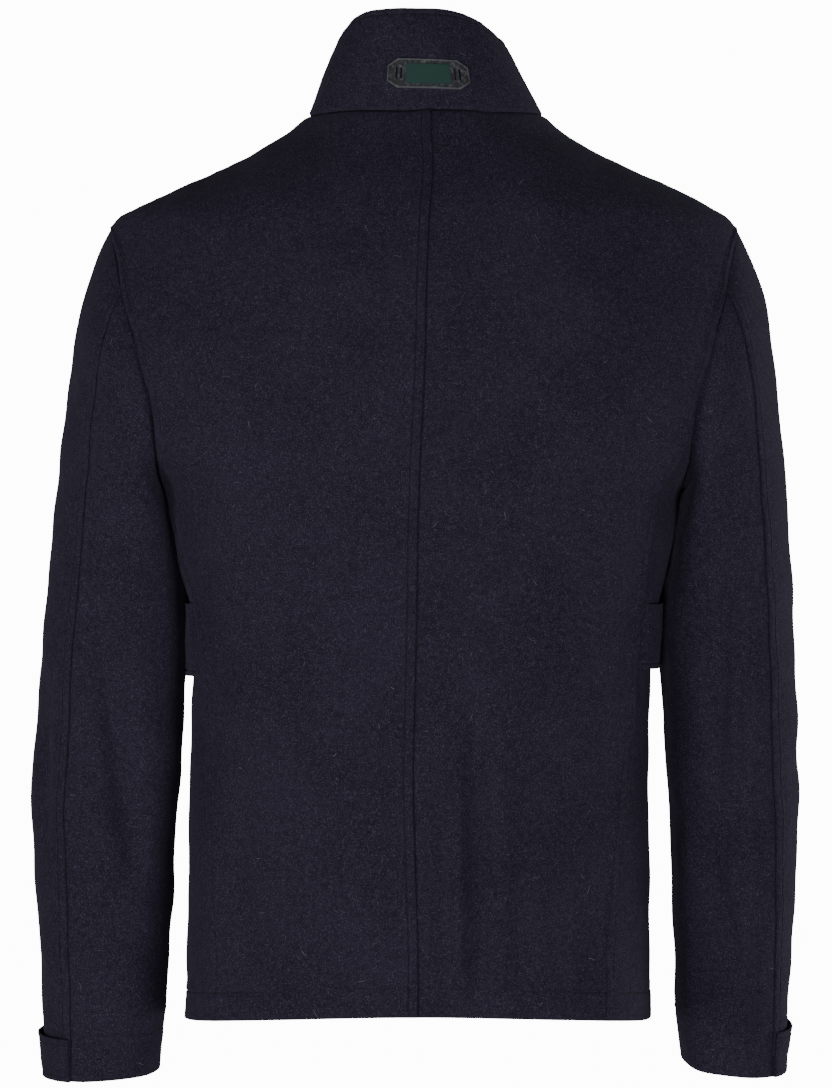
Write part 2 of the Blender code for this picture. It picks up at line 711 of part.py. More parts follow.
def evaluated_mesh(obj, name):
    """The mesh of an object with its modifiers applied. The object itself is removed."""
    bpy.context.view_layer.update()
    made = obj.evaluated_get(bpy.context.evaluated_depsgraph_get())
    mesh = bpy.data.meshes.new_from_object(made)
    mesh.name = name
    bpy.data.objects.remove(obj, do_unlink=True)
    return mesh


def cut(obj, cutter):
    """Cuts one object out of another."""
    cutter.hide_render = True
    cutter.display_type = "WIRE"
    modifier = obj.modifiers.new("cut", "BOOLEAN")
    modifier.operation = "DIFFERENCE"
    modifier.object = cutter


def spaced_along(surface, start, end, place, distances):
    """The angles that lie these distances from the start of a stretch round a surface."""
    angles = np.linspace(start, end, CURVE_SAMPLES)
    steps = np.linalg.norm(np.diff(surface(angles, place), axis=0), axis=-1)
    travelled = np.concatenate([[0], np.cumsum(steps)])
    return np.interp(distances, travelled, angles), travelled[-1]


def end_steps(radius):
    """Distances that follow a rounded corner: close together where it turns fastest."""
    return radius * (1 - np.cos(np.radians((0, 30, 60, 90))))


def corner_cut(distance, radius):
    """How much a rounded corner takes off an edge at this distance from the piece's end."""
    short = np.clip(radius - distance, 0, radius)
    return radius - np.sqrt(radius**2 - short**2)


# ---------------------------------------------------------------- pieces


def add_body_panel(name, side, grid):
    """A panel of the body between its borders."""
    angles, heights = grid
    surface = body_surface(side)
    out = side * normals(surface, angles, heights)
    outer = surface(angles, heights) + out * body_lift(side, angles, heights)[..., None]
    return add_object(name, wall_mesh(name, outer, outer - out * WALL), "wool")


def add_sleeve_half(name, side, top_sleeve):
    """The top or the under half of a sleeve. Its station runs down, so it winds the other way."""
    angles, stations = sleeve_grid(side, top_sleeve)
    surface = sleeve_surface(side)
    out = -side * normals(surface, angles, stations)
    outer = surface(angles, stations) + out * sleeve_lift(side, angles, stations)[..., None]
    inward = -out
    inward[0] = sleeve_inward(side, outer[0], inward[0])
    return add_object(name, wall_mesh(name, outer, outer + inward * WALL), "wool")


def add_collar(name):
    """The stand collar, whose left end laps over its right end in front."""
    angles, rises = collar_grid()
    surface = collar_surface()
    out = normals(surface, angles, rises)
    outer = surface(angles, rises) + out * collar_lift(angles)[..., None]
    return add_object(name, wall_mesh(name, outer, outer - out * COLLAR_WALL), "wool")


def add_pocket_flap(name, side):
    """A hip pocket flap, square where it is sewn in at its rear end and rounded at its front end. It lies
    on the panels at its top and stands off a little at its lower edge, more and more towards its front."""
    surface = body_surface(side)
    ends = end_steps(FLAP_CORNER)
    columns = np.linspace(0, FLAP_LENGTH - FLAP_CORNER, FLAP_COLUMNS + 1)[:-1]
    distances = np.concatenate([columns, FLAP_LENGTH - ends[::-1]])
    angles = spaced_along(surface, FLAP_BACK_ANGLES[side], -90, FLAP_TOP, distances)[0]
    top = FLAP_TOP - corner_cut(FLAP_LENGTH - distances, FLAP_CORNER / 2)
    bottom = FLAP_TOP - FLAP_HEIGHT + corner_cut(FLAP_LENGTH - distances, FLAP_CORNER)
    share = np.linspace(0, 1, FLAP_ROWS + 1)[:, None]
    heights = bottom + (top - bottom) * share
    angles = np.broadcast_to(angles, heights.shape)
    out = side * normals(surface, angles, heights)
    stand_off = FLAP_STAND_OFF * smooth_step(0, FLAP_STAND_START, distances)
    lift = body_lift(side, angles, heights) + LYING_GAP + stand_off * (1 - share) ** OPEN_CURVE
    inner = surface(angles, heights) + out * lift[..., None]
    return add_object(name, wall_mesh(name, inner + out * FLAP_WALL, inner), "wool")


def strap_distances(side):
    """The cuff strap's length round the sleeve, and the distances of its columns."""
    surface = sleeve_surface(side)
    start = SLEEVES[side]("hind_seam", SLEEVE_LENGTH / MM)
    place = SLEEVE_LENGTH - STRAP_WIDTH / 2
    length = spaced_along(surface, start, STRAP_END_ANGLE, place, 0)[1]
    ends = end_steps(STRAP_CORNER)
    columns = np.linspace(0, length - STRAP_CORNER, STRAP_COLUMNS + 1)[:-1]
    distances = np.concatenate([columns, length - ends[::-1]])
    return spaced_along(surface, start, STRAP_END_ANGLE, place, distances)[0], distances, length


def add_cuff_strap(name, side):
    """The strap round the outer side of the cuff: square in the hind-arm seam, rounded at its free end."""
    surface = sleeve_surface(side)
    angles, distances, length = strap_distances(side)
    cut_off = corner_cut(length - distances, STRAP_CORNER)
    share = np.linspace(0, 1, STRAP_ROWS + 1)[:, None]
    top = SLEEVE_LENGTH - STRAP_WIDTH + cut_off
    bottom = SLEEVE_LENGTH - cut_off
    stations = top + (bottom - top) * share
    angles = np.broadcast_to(angles, stations.shape)
    out = -side * normals(surface, angles, stations)
    lift = sleeve_lift(side, angles, stations) + LYING_GAP + STRAP_TOP_OPEN * (1 - share) ** OPEN_CURVE
    inner = surface(angles, stations) + out * lift[..., None]
    return add_object(name, wall_mesh(name, inner + out * STRAP_WALL, inner), "wool")


def cylinder(name, radius, height, sides, places):
    """Upright cylinders in one mesh, centred at these places."""
    shape = bmesh.new()
    for place in places:
        made = bmesh.ops.create_cone(
            shape, cap_ends=True, segments=sides, radius1=radius, radius2=radius, depth=height
        )
        bmesh.ops.translate(shape, verts=made["verts"], vec=place)
    return add_object(name, mesh_of(name, shape), "button")


def button_mesh():
    """A turned button with a raised rim and four holes, its back at z = 0 and its face up."""
    shape = bmesh.new()
    rings = []
    for across, up in BUTTON_PROFILE:
        turns = [2 * math.pi * k / BUTTON_SIDES for k in range(BUTTON_SIDES)]
        radius = across * BUTTON_RADIUS
        ring = [(radius * math.cos(t), radius * math.sin(t), up * BUTTON_THICK) for t in turns]
        rings.append([shape.verts.new(point) for point in ring])
    for low, high in zip(rings[:-1], rings[1:]):
        for k in range(BUTTON_SIDES):
            after = (k + 1) % BUTTON_SIDES
            shape.faces.new((low[k], low[after], high[after], high[k]))
    shape.faces.new(rings[0][::-1])
    shape.faces.new(rings[-1])
    blank = add_object("button_blank", mesh_of("button_blank", shape), "button")
    spots = [(x * BUTTON_HOLE_SPACING, y * BUTTON_HOLE_SPACING, 0) for x in (-1, 1) for y in (-1, 1)]
    drill = cylinder("button_drill", BUTTON_HOLE_RADIUS, 4 * BUTTON_THICK, BUTTON_HOLE_SIDES, spots)
    cut(blank, drill)
    mesh = evaluated_mesh(blank, "button")
    bpy.data.objects.remove(drill, do_unlink=True)
    return mesh


def place_button(name, mesh, point, out, scale=1.0):
    """Sets a button with its back at a point, its face looking out."""
    button = add_object(name, mesh.copy() if scale != 1.0 else mesh, "button")
    if scale != 1.0:
        button.data.transform(Matrix.Scale(scale, 4))
    button.location = Vector(point)
    button.rotation_euler = Vector(out).to_track_quat("Z", "Y").to_euler()
    return button


def add_buttons():
    """The front's buttons down the middle of the lap, and one at the end of each cuff strap."""
    mesh = button_mesh()
    surface = body_surface(1)
    for k in range(FRONT_BUTTONS):
        height = FRONT_BUTTON_TOP - k * FRONT_BUTTON_PITCH
        angle = np.array(-90.0)
        out = normals(surface, angle, np.array(height))
        lift = body_lift(1, angle, height) + BUTTON_GAP
        place_button(f"front_button_{k + 1}", mesh, surface(angle, height) + out * lift, out)
    for side, word in ((1, "left"), (-1, "right")):
        surface = sleeve_surface(side)
        angles, distances, length = strap_distances(side)
        angle = np.interp(length - CUFF_BUTTON_INSET, distances, angles)
        station = np.array(SLEEVE_LENGTH - STRAP_WIDTH / 2)
        out = -side * normals(surface, angle, station)
        open_share = STRAP_TOP_OPEN * 0.5**OPEN_CURVE
        lift = sleeve_lift(side, angle, station) + LYING_GAP + open_share + STRAP_WALL + BUTTON_GAP
        point = surface(angle, station) + out * lift
        place_button(f"cuff_button_{word}", mesh, point, out, CUFF_BUTTON_SCALE)


def outline_prism(name, outline, thickness, material):
    """A flat plate with this outline, from z = 0 up."""
    shape = bmesh.new()
    face = shape.faces.new([shape.verts.new((x, y, 0)) for x, y in outline])
    made = bmesh.ops.extrude_face_region(shape, geom=[face])
    top = [item for item in made["geom"] if isinstance(item, bmesh.types.BMVert)]
    bmesh.ops.translate(shape, verts=top, vec=(0, 0, thickness))
    return add_object(name, mesh_of(name, shape), material)


def bend_onto_collar(mesh, lift):
    """Bends a flat mesh onto the back of the collar: x runs to the right round it, y up it and z out.
    The mesh is turned a little first, as the badge is sewn on."""
    shape = bmesh.new()
    shape.from_mesh(mesh)
    shape.transform(Matrix.Rotation(math.radians(BADGE_TURN), 4, "Z"))
    for k in range(-BADGE_SLICES, BADGE_SLICES + 1):
        geometry = shape.verts[:] + shape.edges[:] + shape.faces[:]
        place = (k * BADGE_WIDTH / 2 / BADGE_SLICES, 0, 0)
        bmesh.ops.bisect_plane(shape, geom=geometry, dist=TINY, plane_co=place, plane_no=(1, 0, 0))
    points = np.array([vert.co for vert in shape.verts])
    surface = collar_surface()
    middle_rise = BADGE_CENTRE[1] / COLLAR_BACK_HEIGHT
    angles = np.linspace(*BADGE_ANGLES, CURVE_SAMPLES)
    steps = np.linalg.norm(np.diff(surface(angles, middle_rise), axis=0), axis=-1)
    travelled = np.concatenate([[0], np.cumsum(steps)])
    travelled -= np.interp(90, angles, travelled)
    angle = np.interp(points[:, 0] + BADGE_CENTRE[0], travelled, angles)
    edge_length = np.linalg.norm(surface(angle, 1.0) - surface(angle, 0.0), axis=-1)
    rise = (BADGE_CENTRE[1] + points[:, 1]) / edge_length
    out = normals(surface, angle, rise)
    bent = surface(angle, rise) + out * (points[:, 2] + lift)[:, None]
    for vert, point in zip(shape.verts, bent.tolist()):
        vert.co = point
    return mesh_of(mesh.name, shape)


def add_badge():
    """The rubber badge on the back of the collar: an eight-sided plate with a raised rim and upright
    slots, and a bare inlay in its middle."""
    half_w, half_h = BADGE_WIDTH / 2, BADGE_HEIGHT / 2
    corner_x, corner_y = half_w - BADGE_CORNER_ALONG, half_h - BADGE_CORNER_UP
    quarter = [(half_w, corner_y), (corner_x, half_h)]
    outline = quarter + [(-x, y) for x, y in quarter[::-1]]
    outline = outline + [(-x, -y) for x, y in outline]
    plate = outline_prism("plate_blank", outline, BADGE_THICK, "rubber")
    shrink_w, shrink_h = 1 - 2 * BADGE_RIM / BADGE_WIDTH, 1 - 2 * BADGE_RIM / BADGE_HEIGHT
    inner = [(x * shrink_w, y * shrink_h) for x, y in outline]
    recess = outline_prism("recess", inner, BADGE_THICK, "rubber")
    recess.location.z = BADGE_THICK - BADGE_SINK
    cut(plate, recess)
    cutters = [recess]
    for k, place in enumerate([sign * x for sign in (-1, 1) for x in SLOT_PLACES]):
        box = [(sx * SLOT_WIDTH / 2, sy * SLOT_HEIGHT / 2) for sx, sy in ((-1, -1), (1, -1), (1, 1), (-1, 1))]
        slot = outline_prism(f"slot_{k}", box, 3 * BADGE_THICK, "rubber")
        slot.location = (place, 0, -BADGE_THICK)
        cut(plate, slot)
        cutters.append(slot)
    flat = evaluated_mesh(plate, "badge_plate")
    for cutter in cutters:
        bpy.data.objects.remove(cutter, do_unlink=True)
    add_object("badge_plate", bend_onto_collar(flat, SEAM_GAP), "rubber")

    half_w, half_h = INLAY_WIDTH / 2, INLAY_HEIGHT / 2
    box = [(-half_w, -half_h), (half_w, -half_h), (half_w, half_h), (-half_w, half_h)]
    inlay = outline_prism("inlay_blank", box, INLAY_THICK, "inlay")
    flat = evaluated_mesh(inlay, "badge_inlay")
    lift = SEAM_GAP + BADGE_THICK - BADGE_SINK + SEAM_GAP
    add_object("badge_inlay", bend_onto_collar(flat, lift), "inlay")


def main():
    clear_scene()
    for side, word in ((1, "left"), (-1, "right")):
        add_body_panel(f"back_{word}", side, main_panel_grid(side, 1, BACK_COLUMNS))
        add_body_panel(f"front_{word}", side, main_panel_grid(side, -1, FRONT_COLUMNS))
        add_body_panel(f"side_{word}", side, side_panel_grid(side))
        add_sleeve_half(f"sleeve_top_{word}", side, True)
        add_sleeve_half(f"sleeve_under_{word}", side, False)
        add_pocket_flap(f"pocket_flap_{word}", side)
        add_cuff_strap(f"cuff_strap_{word}", side)
    add_collar("collar")
    add_buttons()
    add_badge()


if __name__ == "__main__":
    main()
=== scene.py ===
"""Short wool overcoat with a stand collar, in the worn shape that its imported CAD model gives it.

Frame: metres, +Z up. The wearer faces -Y, so +X is the wearer's left. The origin is the middle of the
neck opening, level with the collar seam at the back. The photograph shows the coat from behind.

The cloth is a thin shell on the same surfaces as the solids: level ovals for the body, turning ovals
for the sleeves and straight lines between two edges for the collar. Every surface is a function of an
angle and a place. Each piece is a fine grid on one of them, to which its seams, folds, turned edges and
rows of stitches are added as distances outwards. Angles go round from the wearer's side (0) to the back
(90) or the front (-90), in degrees. Tables are in millimetres and degrees.
"""

import json
import logging
import math
from collections.abc import Callable, Sequence
from dataclasses import dataclass, field
from enum import Enum

import bpy
import numpy as np
from mathutils import Matrix, Vector

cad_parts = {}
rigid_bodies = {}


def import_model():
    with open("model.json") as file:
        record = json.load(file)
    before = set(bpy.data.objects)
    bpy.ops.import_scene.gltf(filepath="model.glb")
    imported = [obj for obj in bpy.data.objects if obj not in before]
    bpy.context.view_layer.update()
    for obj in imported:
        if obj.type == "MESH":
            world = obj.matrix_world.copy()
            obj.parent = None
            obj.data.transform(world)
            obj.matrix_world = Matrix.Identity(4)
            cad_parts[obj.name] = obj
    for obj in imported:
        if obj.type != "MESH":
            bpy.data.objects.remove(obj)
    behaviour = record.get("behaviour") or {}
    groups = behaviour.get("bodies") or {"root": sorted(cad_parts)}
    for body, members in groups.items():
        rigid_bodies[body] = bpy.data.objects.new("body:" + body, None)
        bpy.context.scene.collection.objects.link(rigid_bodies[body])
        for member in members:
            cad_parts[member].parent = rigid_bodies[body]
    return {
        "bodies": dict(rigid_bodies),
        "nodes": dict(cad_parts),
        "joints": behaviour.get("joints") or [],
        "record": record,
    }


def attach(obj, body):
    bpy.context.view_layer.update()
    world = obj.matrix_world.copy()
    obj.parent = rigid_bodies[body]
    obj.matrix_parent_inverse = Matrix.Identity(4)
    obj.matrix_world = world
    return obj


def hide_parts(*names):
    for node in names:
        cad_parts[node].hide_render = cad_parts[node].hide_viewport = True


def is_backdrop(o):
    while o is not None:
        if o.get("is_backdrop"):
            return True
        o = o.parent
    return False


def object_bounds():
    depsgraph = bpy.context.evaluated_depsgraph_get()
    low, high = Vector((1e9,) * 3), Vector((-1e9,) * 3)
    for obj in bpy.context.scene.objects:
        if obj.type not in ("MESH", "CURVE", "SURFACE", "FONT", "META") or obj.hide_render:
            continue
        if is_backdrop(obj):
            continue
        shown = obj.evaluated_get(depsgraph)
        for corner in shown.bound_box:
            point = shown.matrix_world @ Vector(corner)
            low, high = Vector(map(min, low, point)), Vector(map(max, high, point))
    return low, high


logging.basicConfig(level=logging.INFO, format="%(message)s")
LOG = logging.getLogger("overcoat")

MM = 0.001

Array = np.ndarray
Surface = Callable[[Array, Array], Array]


class Side(Enum):
    """The wearer's two sides: the value is the sign of X there."""

    LEFT = 1
    RIGHT = -1

    @property
    def word(self) -> str:
        """The side as node names spell it.

        Returns:
            left or right.
        """
        return self.name.lower()


class Facing(Enum):
    """Whether a panel lies behind or in front: the value is the sign of Y there."""

    BACK = 1
    FRONT = -1


class Slot(Enum):
    """The record's material slots."""

    WOOL = "wool"
    RUBBER = "rubber"
    INLAY = "inlay"
    BUTTON = "button"


# ---------------------------------------------------------------- sizes


class Table:
    """Sizes in rows under named columns, read between the rows along a smooth curve."""

    def __init__(self, names: str, *rows: Sequence[float]) -> None:
        columns = np.array(sorted(rows), float).T
        self.places = columns[0]
        self.columns = dict(zip(names.split()[1:], columns[1:]))

    def __call__(self, name: str, place: Array | float) -> Array:
        """Reads one column at a place.

        Between two rows the value follows a cubic whose slopes come from the rows beside it, and
        which never swings past them.

        Args:
            name: the column.
            place: where to read it, in the table's own unit.

        Returns:
            The column's value at each place.
        """
        x = self.places
        y = self.columns[name]
        steps = np.diff(x)
        rises = np.diff(y) / steps
        before, after = rises[:-1], rises[1:]
        same_way = before * after > 0
        mean = (before * steps[1:] + after * steps[:-1]) / (steps[1:] + steps[:-1])
        limit = 3 * np.minimum(abs(before), abs(after))
        slopes = np.concatenate([rises[:1], mean, rises[-1:]])
        slopes[1:-1] = np.where(same_way, np.sign(mean) * np.minimum(abs(mean), limit), 0)
        place = np.clip(np.asarray(place, float), x[0], x[-1])
        i = np.clip(np.searchsorted(x, place) - 1, 0, len(x) - 2)
        t = (place - x[i]) / steps[i]
        start = y[i] * (1 + 2 * t) * (1 - t) ** 2 + slopes[i] * steps[i] * t * (1 - t) ** 2
        end = y[i + 1] * t**2 * (3 - 2 * t) - slopes[i + 1] * steps[i] * t**2 * (1 - t)
        return start + end


# The body's rings, from the neckline to the hem. lean is how far a ring's middle lies to the left.
BODY = Table(
    "height half_width back front round lean",
    (12, 81, 56, 54, 2.1, -5.8),
    (0, 90.5, 60, 58, 2.1, -5.8),
    (-3.5, 94.3, 62, 59.5, 2.1, -5.7),
    (-18.9, 113.2, 69, 66, 2.1, -5.2),
    (-34.3, 141.3, 76.5, 71, 2.1, -6.3),
    (-49.7, 174, 84, 75.5, 2.1, -6.2),
    (-65.1, 208.7, 91, 80, 2.15, -5.4),
    (-80.5, 235.2, 97, 87, 2.2, -4.6),
    (-87.4, 239.9, 99, 91, 2.2, -4.6),
    (-125, 249, 109, 112, 2.3, -4.6),
    (-155, 253, 115, 126, 2.4, -4.6),
    (-195, 247, 120, 138, 2.4, -4.6),
    (-235, 233, 122, 144, 2.4, -4.6),
    (-261, 219, 122, 146, 2.4, -4.6),
    (-276, 208, 121.5, 147, 2.4, -4.6),
    (-286.8, 199.2, 121, 147, 2.4, -4.6),
    (-312.2, 194.5, 119, 146, 2.4, -4.6),
    (-352.3, 186.3, 116, 145, 2.4, -4.5),
    (-376.9, 181.4, 114.5, 143, 2.4, -4.4),
    (-403.9, 178.2, 113, 142, 2.4, -3.8),
    (-434.7, 176.3, 112, 141, 2.4, -3.0),
    (-496, 175.9, 111.5, 139.5, 2.4, -1.4),
    (-604, 177.8, 115.5, 141, 2.4, -0.4),
    (-694, 179.4, 120.5, 144, 2.4, 0),
    (-735, 180, 122, 145, 2.4, 0),
)

# The collar's top edge, from the left front's edge round the back to the right front's edge.
COLLAR_EDGE = Table(
    "angle height",
    (-100, 3),
    (-90, 4),
    (-60, 14),
    (-30, 34),
    (0, 54),
    (20, 59.5),
    (28, 64),
    (35, 68.5),
    (43, 73),
    (58, 77.2),
    (82, 78),
    (103, 77.5),
    (124, 73),
    (135, 68.5),
    (145, 64),
    (156, 59.5),
    (180, 54),
    (210, 34),
    (240, 14),
    (270, 4),
    (280, 3),
)

# The armhole's line: how far out it lies behind, and how much further in it is cut in front.
ARMHOLE = Table(
    "height reach front_cut",
    (-87.4, 239.9, 0),
    (-92.4, 238.7, 0.3),
    (-112.8, 233.7, 2),
    (-141, 228.7, 5),
    (-164.4, 222.3, 7),
    (-191.3, 214.8, 8),
    (-216, 207.1, 7),
    (-245.2, 203.3, 4),
    (-276, 200.8, 1),
    (-286.8, 199.2, 0),
)

# The seams that run up the back: how far the centre seam turns to the right, and the side-back seams.
BACK_SEAMS = Table(
    "height centre side_left side_right",
    (0, 2.6, 9, 32),
    (-90, 0.8, 9, 32),
    (-213, -0.1, 9, 32),
    (-286, -1.1, 10, 30.8),
    (-312, -1.4, 12, 30.5),
    (-354, -1.6, 17, 29.6),
    (-373, -1.7, 19.8, 28.7),
    (-403, -1.7, 22.8, 28),
    (-449, -1.7, 25.2, 27.8),
    (-489, -1.7, 27.3, 30.8),
    (-570, -0.9, 30.5, 35.6),
    (-656, -0.1, 33.8, 39.2),
    (-735, -0.1, 34, 40),
)

# The sleeves: the outer and the inner line of each as it hangs, its middle from front to back, half of
# its depth, where the hind-arm seam lies on it, and how much lower its back hangs than its middle.
# station is the way down the sleeve's middle.
SLEEVES = {
    1: Table(
        "station outer_x outer_z inner_x inner_z middle_y half_depth hind_seam drop",
        (0, 235.3, -87.4, 194.6, -286.8, -6, 80, 62, 0),
        (16, 247.2, -108.2, 195.2, -297, -6.5, 80, 62, 0),
        (37, 257.2, -135.9, 191.4, -311, -10, 80, 61, 0),
        (71, 266.0, -180.6, 186.6, -333, -17, 79, 61, 0),
        (114, 274.1, -238.4, 182.8, -360, -23, 76, 60, 0),
        (173, 282.6, -319.2, 179.7, -398, -26, 70, 60, 0),
        (238, 291.1, -403.9, 181.6, -443, -27, 64, 60, 0),
        (298, 296.5, -480.9, 181.9, -485, -28, 61, 61, 1),
        (343, 299.1, -528.1, 185.7, -528, -29, 59, 60, 1.5),
        (398, 297.0, -582.8, 188.8, -583, -32, 56, 61, 2.5),
        (457, 294.2, -641.7, 193.1, -641, -38, 53, 61, 3.3),
        (516, 291.4, -700.9, 197.9, -699, -49, 50, 61, 4),
        (556, 290.4, -742.5, 201.5, -738, -56, 49, 61, 4.5),
    ),
    -1: Table(
        "station outer_x outer_z inner_x inner_z middle_y half_depth hind_seam drop",
        (0, 244.5, -87.4, 203.8, -286.8, -6, 80, 61, 0),
        (16, 256.4, -108.2, 204.4, -297, -6.5, 80, 61, 0),
        (37, 265.7, -135.9, 200.6, -311, -10, 80, 60, 0),
        (71, 273.7, -180.6, 195.8, -333, -17, 79, 59, 0),
        (114, 280.7, -238.4, 191.8, -360, -23, 76, 58, 0),
        (173, 287.6, -319.2, 187.5, -398, -26, 70, 57, 0),
        (238, 291.8, -403.9, 190.4, -443, -27, 64, 57, 0),
        (298, 294.1, -480.9, 191.3, -485, -28, 61, 57, 1),
        (343, 295.3, -528.1, 194.3, -528, -29, 59, 56, 2),
        (398, 293.8, -582.8, 196.6, -583, -32, 56, 54, 3.5),
        (457, 290.4, -641.7, 199.0, -641, -38, 53, 50, 4.8),
        (516, 286.4, -700.9, 201.1, -699, -49, 50, 45, 6),
        (556, 285.1, -738.5, 205.4, -731, -56, 49, 44, 6.8),
    ),
}


@dataclass(frozen=True)
class BodySizes:
    """Heights and angles that place the body's pieces, in metres and degrees."""

    tip_height: float = -87.4 * MM
    armpit_height: float = -286.8 * MM
    armpit_reach: float = 60 * MM
    flare_height: float = -320 * MM
    side_hem_height: float = -694 * MM
    back_hem_rise: float = 10 * MM
    front_hem_drop: float = 8 * MM
    hem_warp_reach: float = 160 * MM
    front_neck_drop: float = 66 * MM
    neck_curve: float = 6.0
    shoulder_seam_turn: float = -8.0
    side_front_angle: float = -30.0
    lap_width: float = 20 * MM
    lap_gap: float = 0.8 * MM
    lap_ease: float = 45 * MM


@dataclass(frozen=True)
class CollarSizes:
    """The stand collar's top edge and its stand, in metres."""

    top_half_width: float = 64 * MM
    top_back: float = 51 * MM
    top_front: float = 68 * MM
    top_shift: float = -1.5 * MM
    back_height: float = 78 * MM
    roundness: float = 2.15
    bulge: float = 0.5 * MM


@dataclass(frozen=True)
class SleeveSizes:
    """The sleeve's length and the places of its seams."""

    length: float = 556 * MM
    roundness: float = 2.2
    head_reach: float = 42 * MM
    front_seam: float = -122.0


@dataclass(frozen=True)
class ClothSizes:
    """How the milled wool is made up: its walls, turned edges, raised seams and rows of stitches."""

    wall: float = 2.4 * MM
    collar_wall: float = 3.0 * MM
    flap_wall: float = 2.8 * MM
    strap_wall: float = 2.6 * MM
    turned_radius: float = 1.15 * MM
    tuck: float = 3.0 * MM
    tuck_depth: float = 1.5 * MM
    spacing: float = 3.6 * MM
    body_stitch: float = 7.0 * MM
    sleeve_stitch: float = 6.4 * MM
    edge_stitch: float = 4.6 * MM
    hem_depth: float = 21.5 * MM
    hem_wander: float = 2.6 * MM
    hem_welt: float = 0.35 * MM
    cuff_welt: float = 0.3 * MM
    front_welt: float = 0.2 * MM
    collar_welt: float = 0.12 * MM
    flap_welt: float = 0.1 * MM
    cuff_depth: tuple[float, float] = (36 * MM, 44 * MM)
    welt_height: float = 1.3 * MM
    groove_depth: float = 1.3 * MM
    groove_width: float = 0.6 * MM
    gutter_place: float = 9 * MM
    gutter_width: float = 7 * MM
    gutter_depth: float = 5 * MM
    fold_share: float = 1.45
    unevenness: float = 0.7 * MM
    pucker: float = 0.3 * MM
    pucker_reach: float = 15 * MM


# How many points a curve is walked in where an angle or a height is looked up on it.
CURVE_SAMPLES = 400

BODY_SIZES = BodySizes()
COLLAR = CollarSizes()
SLEEVE = SleeveSizes()
CLOTH = ClothSizes()


# ---------------------------------------------------------------- functions of the surfaces


def smooth_step(low: float, high: float, value: Array) -> Array:
    """0 below low, 1 above high and a smooth rise between them.

    Args:
        low: where the rise starts.
        high: where it ends.
        value: what is compared.

    Returns:
        A share from 0 to 1.
    """
    t = np.clip((np.asarray(value, float) - low) / (high - low), 0, 1)
    return t * t * (3 - 2 * t)


def oval(angle: Array, roundness: Array | float) -> tuple[Array, Array]:
    """The point of a unit oval in each direction.

    The direction (cosine, sine) is divided by the root of the sum of its two parts, each raised to the
    roundness: 2 gives a circle, and more a squarer oval.

    Args:
        angle: the directions, in degrees.
        roundness: the power.

    Returns:
        How far across and how far along each point lies.
    """
    radians = np.radians(angle)
    across, along = np.cos(radians), np.sin(radians)
    size = (abs(across) ** roundness + abs(along) ** roundness) ** (1 / roundness)
    return across / size, along / size


def normals(surface: Surface, angle: Array, place: Array) -> Array:
    """Unit normals of a surface: the cross product of its slopes round and along.

    Args:
        surface: the surface.
        angle: where, in degrees.
        place: where, in metres.

    Returns:
        One unit vector for each point.
    """
    turn, move = 0.02, 0.05 * MM
    around = surface(angle + turn, place) - surface(angle - turn, place)
    along = surface(angle, place + move) - surface(angle, place - move)
    cross = np.cross(around, along)
    return cross / np.maximum(np.linalg.norm(cross, axis=-1, keepdims=True), 1e-12)


def turn_for(surface: Surface, angle: Array, place: Array, distance: float) -> Array:
    """The angle that covers a distance round the surface, starting here.

    Args:
        surface: the surface.
        angle: the start, in degrees.
        place: the place, in metres.
        distance: how far to go, in metres.

    Returns:
        The turn, in degrees.
    """
    around = surface(angle + 0.5, place) - surface(angle - 0.5, place)
    return distance / np.linalg.norm(around, axis=-1)


def waves(points: Array, shortest: float, longest: float, seed: int, count: int = 14) -> Array:
    """A gentle unevenness of about -1 to 1: the sum of plane sine waves in seeded directions.

    Each wave is the sine of the point's distance along the wave's direction, over a wavelength between
    the two limits, and all are divided by the root of their number.

    Args:
        points: where, in metres.
        shortest: the shortest wavelength, in metres.
        longest: the longest one.
        seed: picks the directions.
        count: how many waves.

    Returns:
        One value for each point.
    """
    chance = np.random.RandomState(seed)
    ways = chance.normal(size=(count, 3))
    ways /= np.linalg.norm(ways, axis=1, keepdims=True)
    lengths = shortest * (longest / shortest) ** chance.uniform(size=count)
    turns = 2 * math.pi / lengths[:, None] * ways
    starts = chance.uniform(0, 2 * math.pi, size=count)
    return np.sin(points @ turns.T + starts).sum(axis=-1) / math.sqrt(count)


@dataclass(frozen=True)
class Fold:
    """A soft trough (depth over 0) or ridge (under 0), from one angle and place to another, in degrees
    and millimetres. bend bows its middle line sideways, in degrees."""

    side: int
    from_angle: float
    from_place: float
    to_angle: float
    to_place: float
    width: float
    depth: float
    bend: float = 0.0

    def lift(self, angle: Array, place: Array, radius: float) -> Array:
        """The distance outwards that this fold moves the cloth.

        Across the fold it is a bell of the fold's width, and along it the sine of the way from its
        start to its end, so that both ends fade. Its middle line may bend sideways by a half sine.

        Args:
            angle: where, in degrees.
            place: where, in metres.
            radius: metres of cloth to a radian of turn.

        Returns:
            One distance for each point, negative where the cloth is pressed in.
        """
        start, end = self.from_place * MM, self.to_place * MM
        t = np.clip((place - start) / (end - start), 0, 1)
        middle = self.from_angle + (self.to_angle - self.from_angle) * t
        middle = middle + self.bend * np.sin(math.pi * t)
        across = np.radians(angle - middle) * radius / (self.width * MM)
        return -self.depth * MM * np.exp(-(across**2)) * np.sin(math.pi * t) ** 0.8


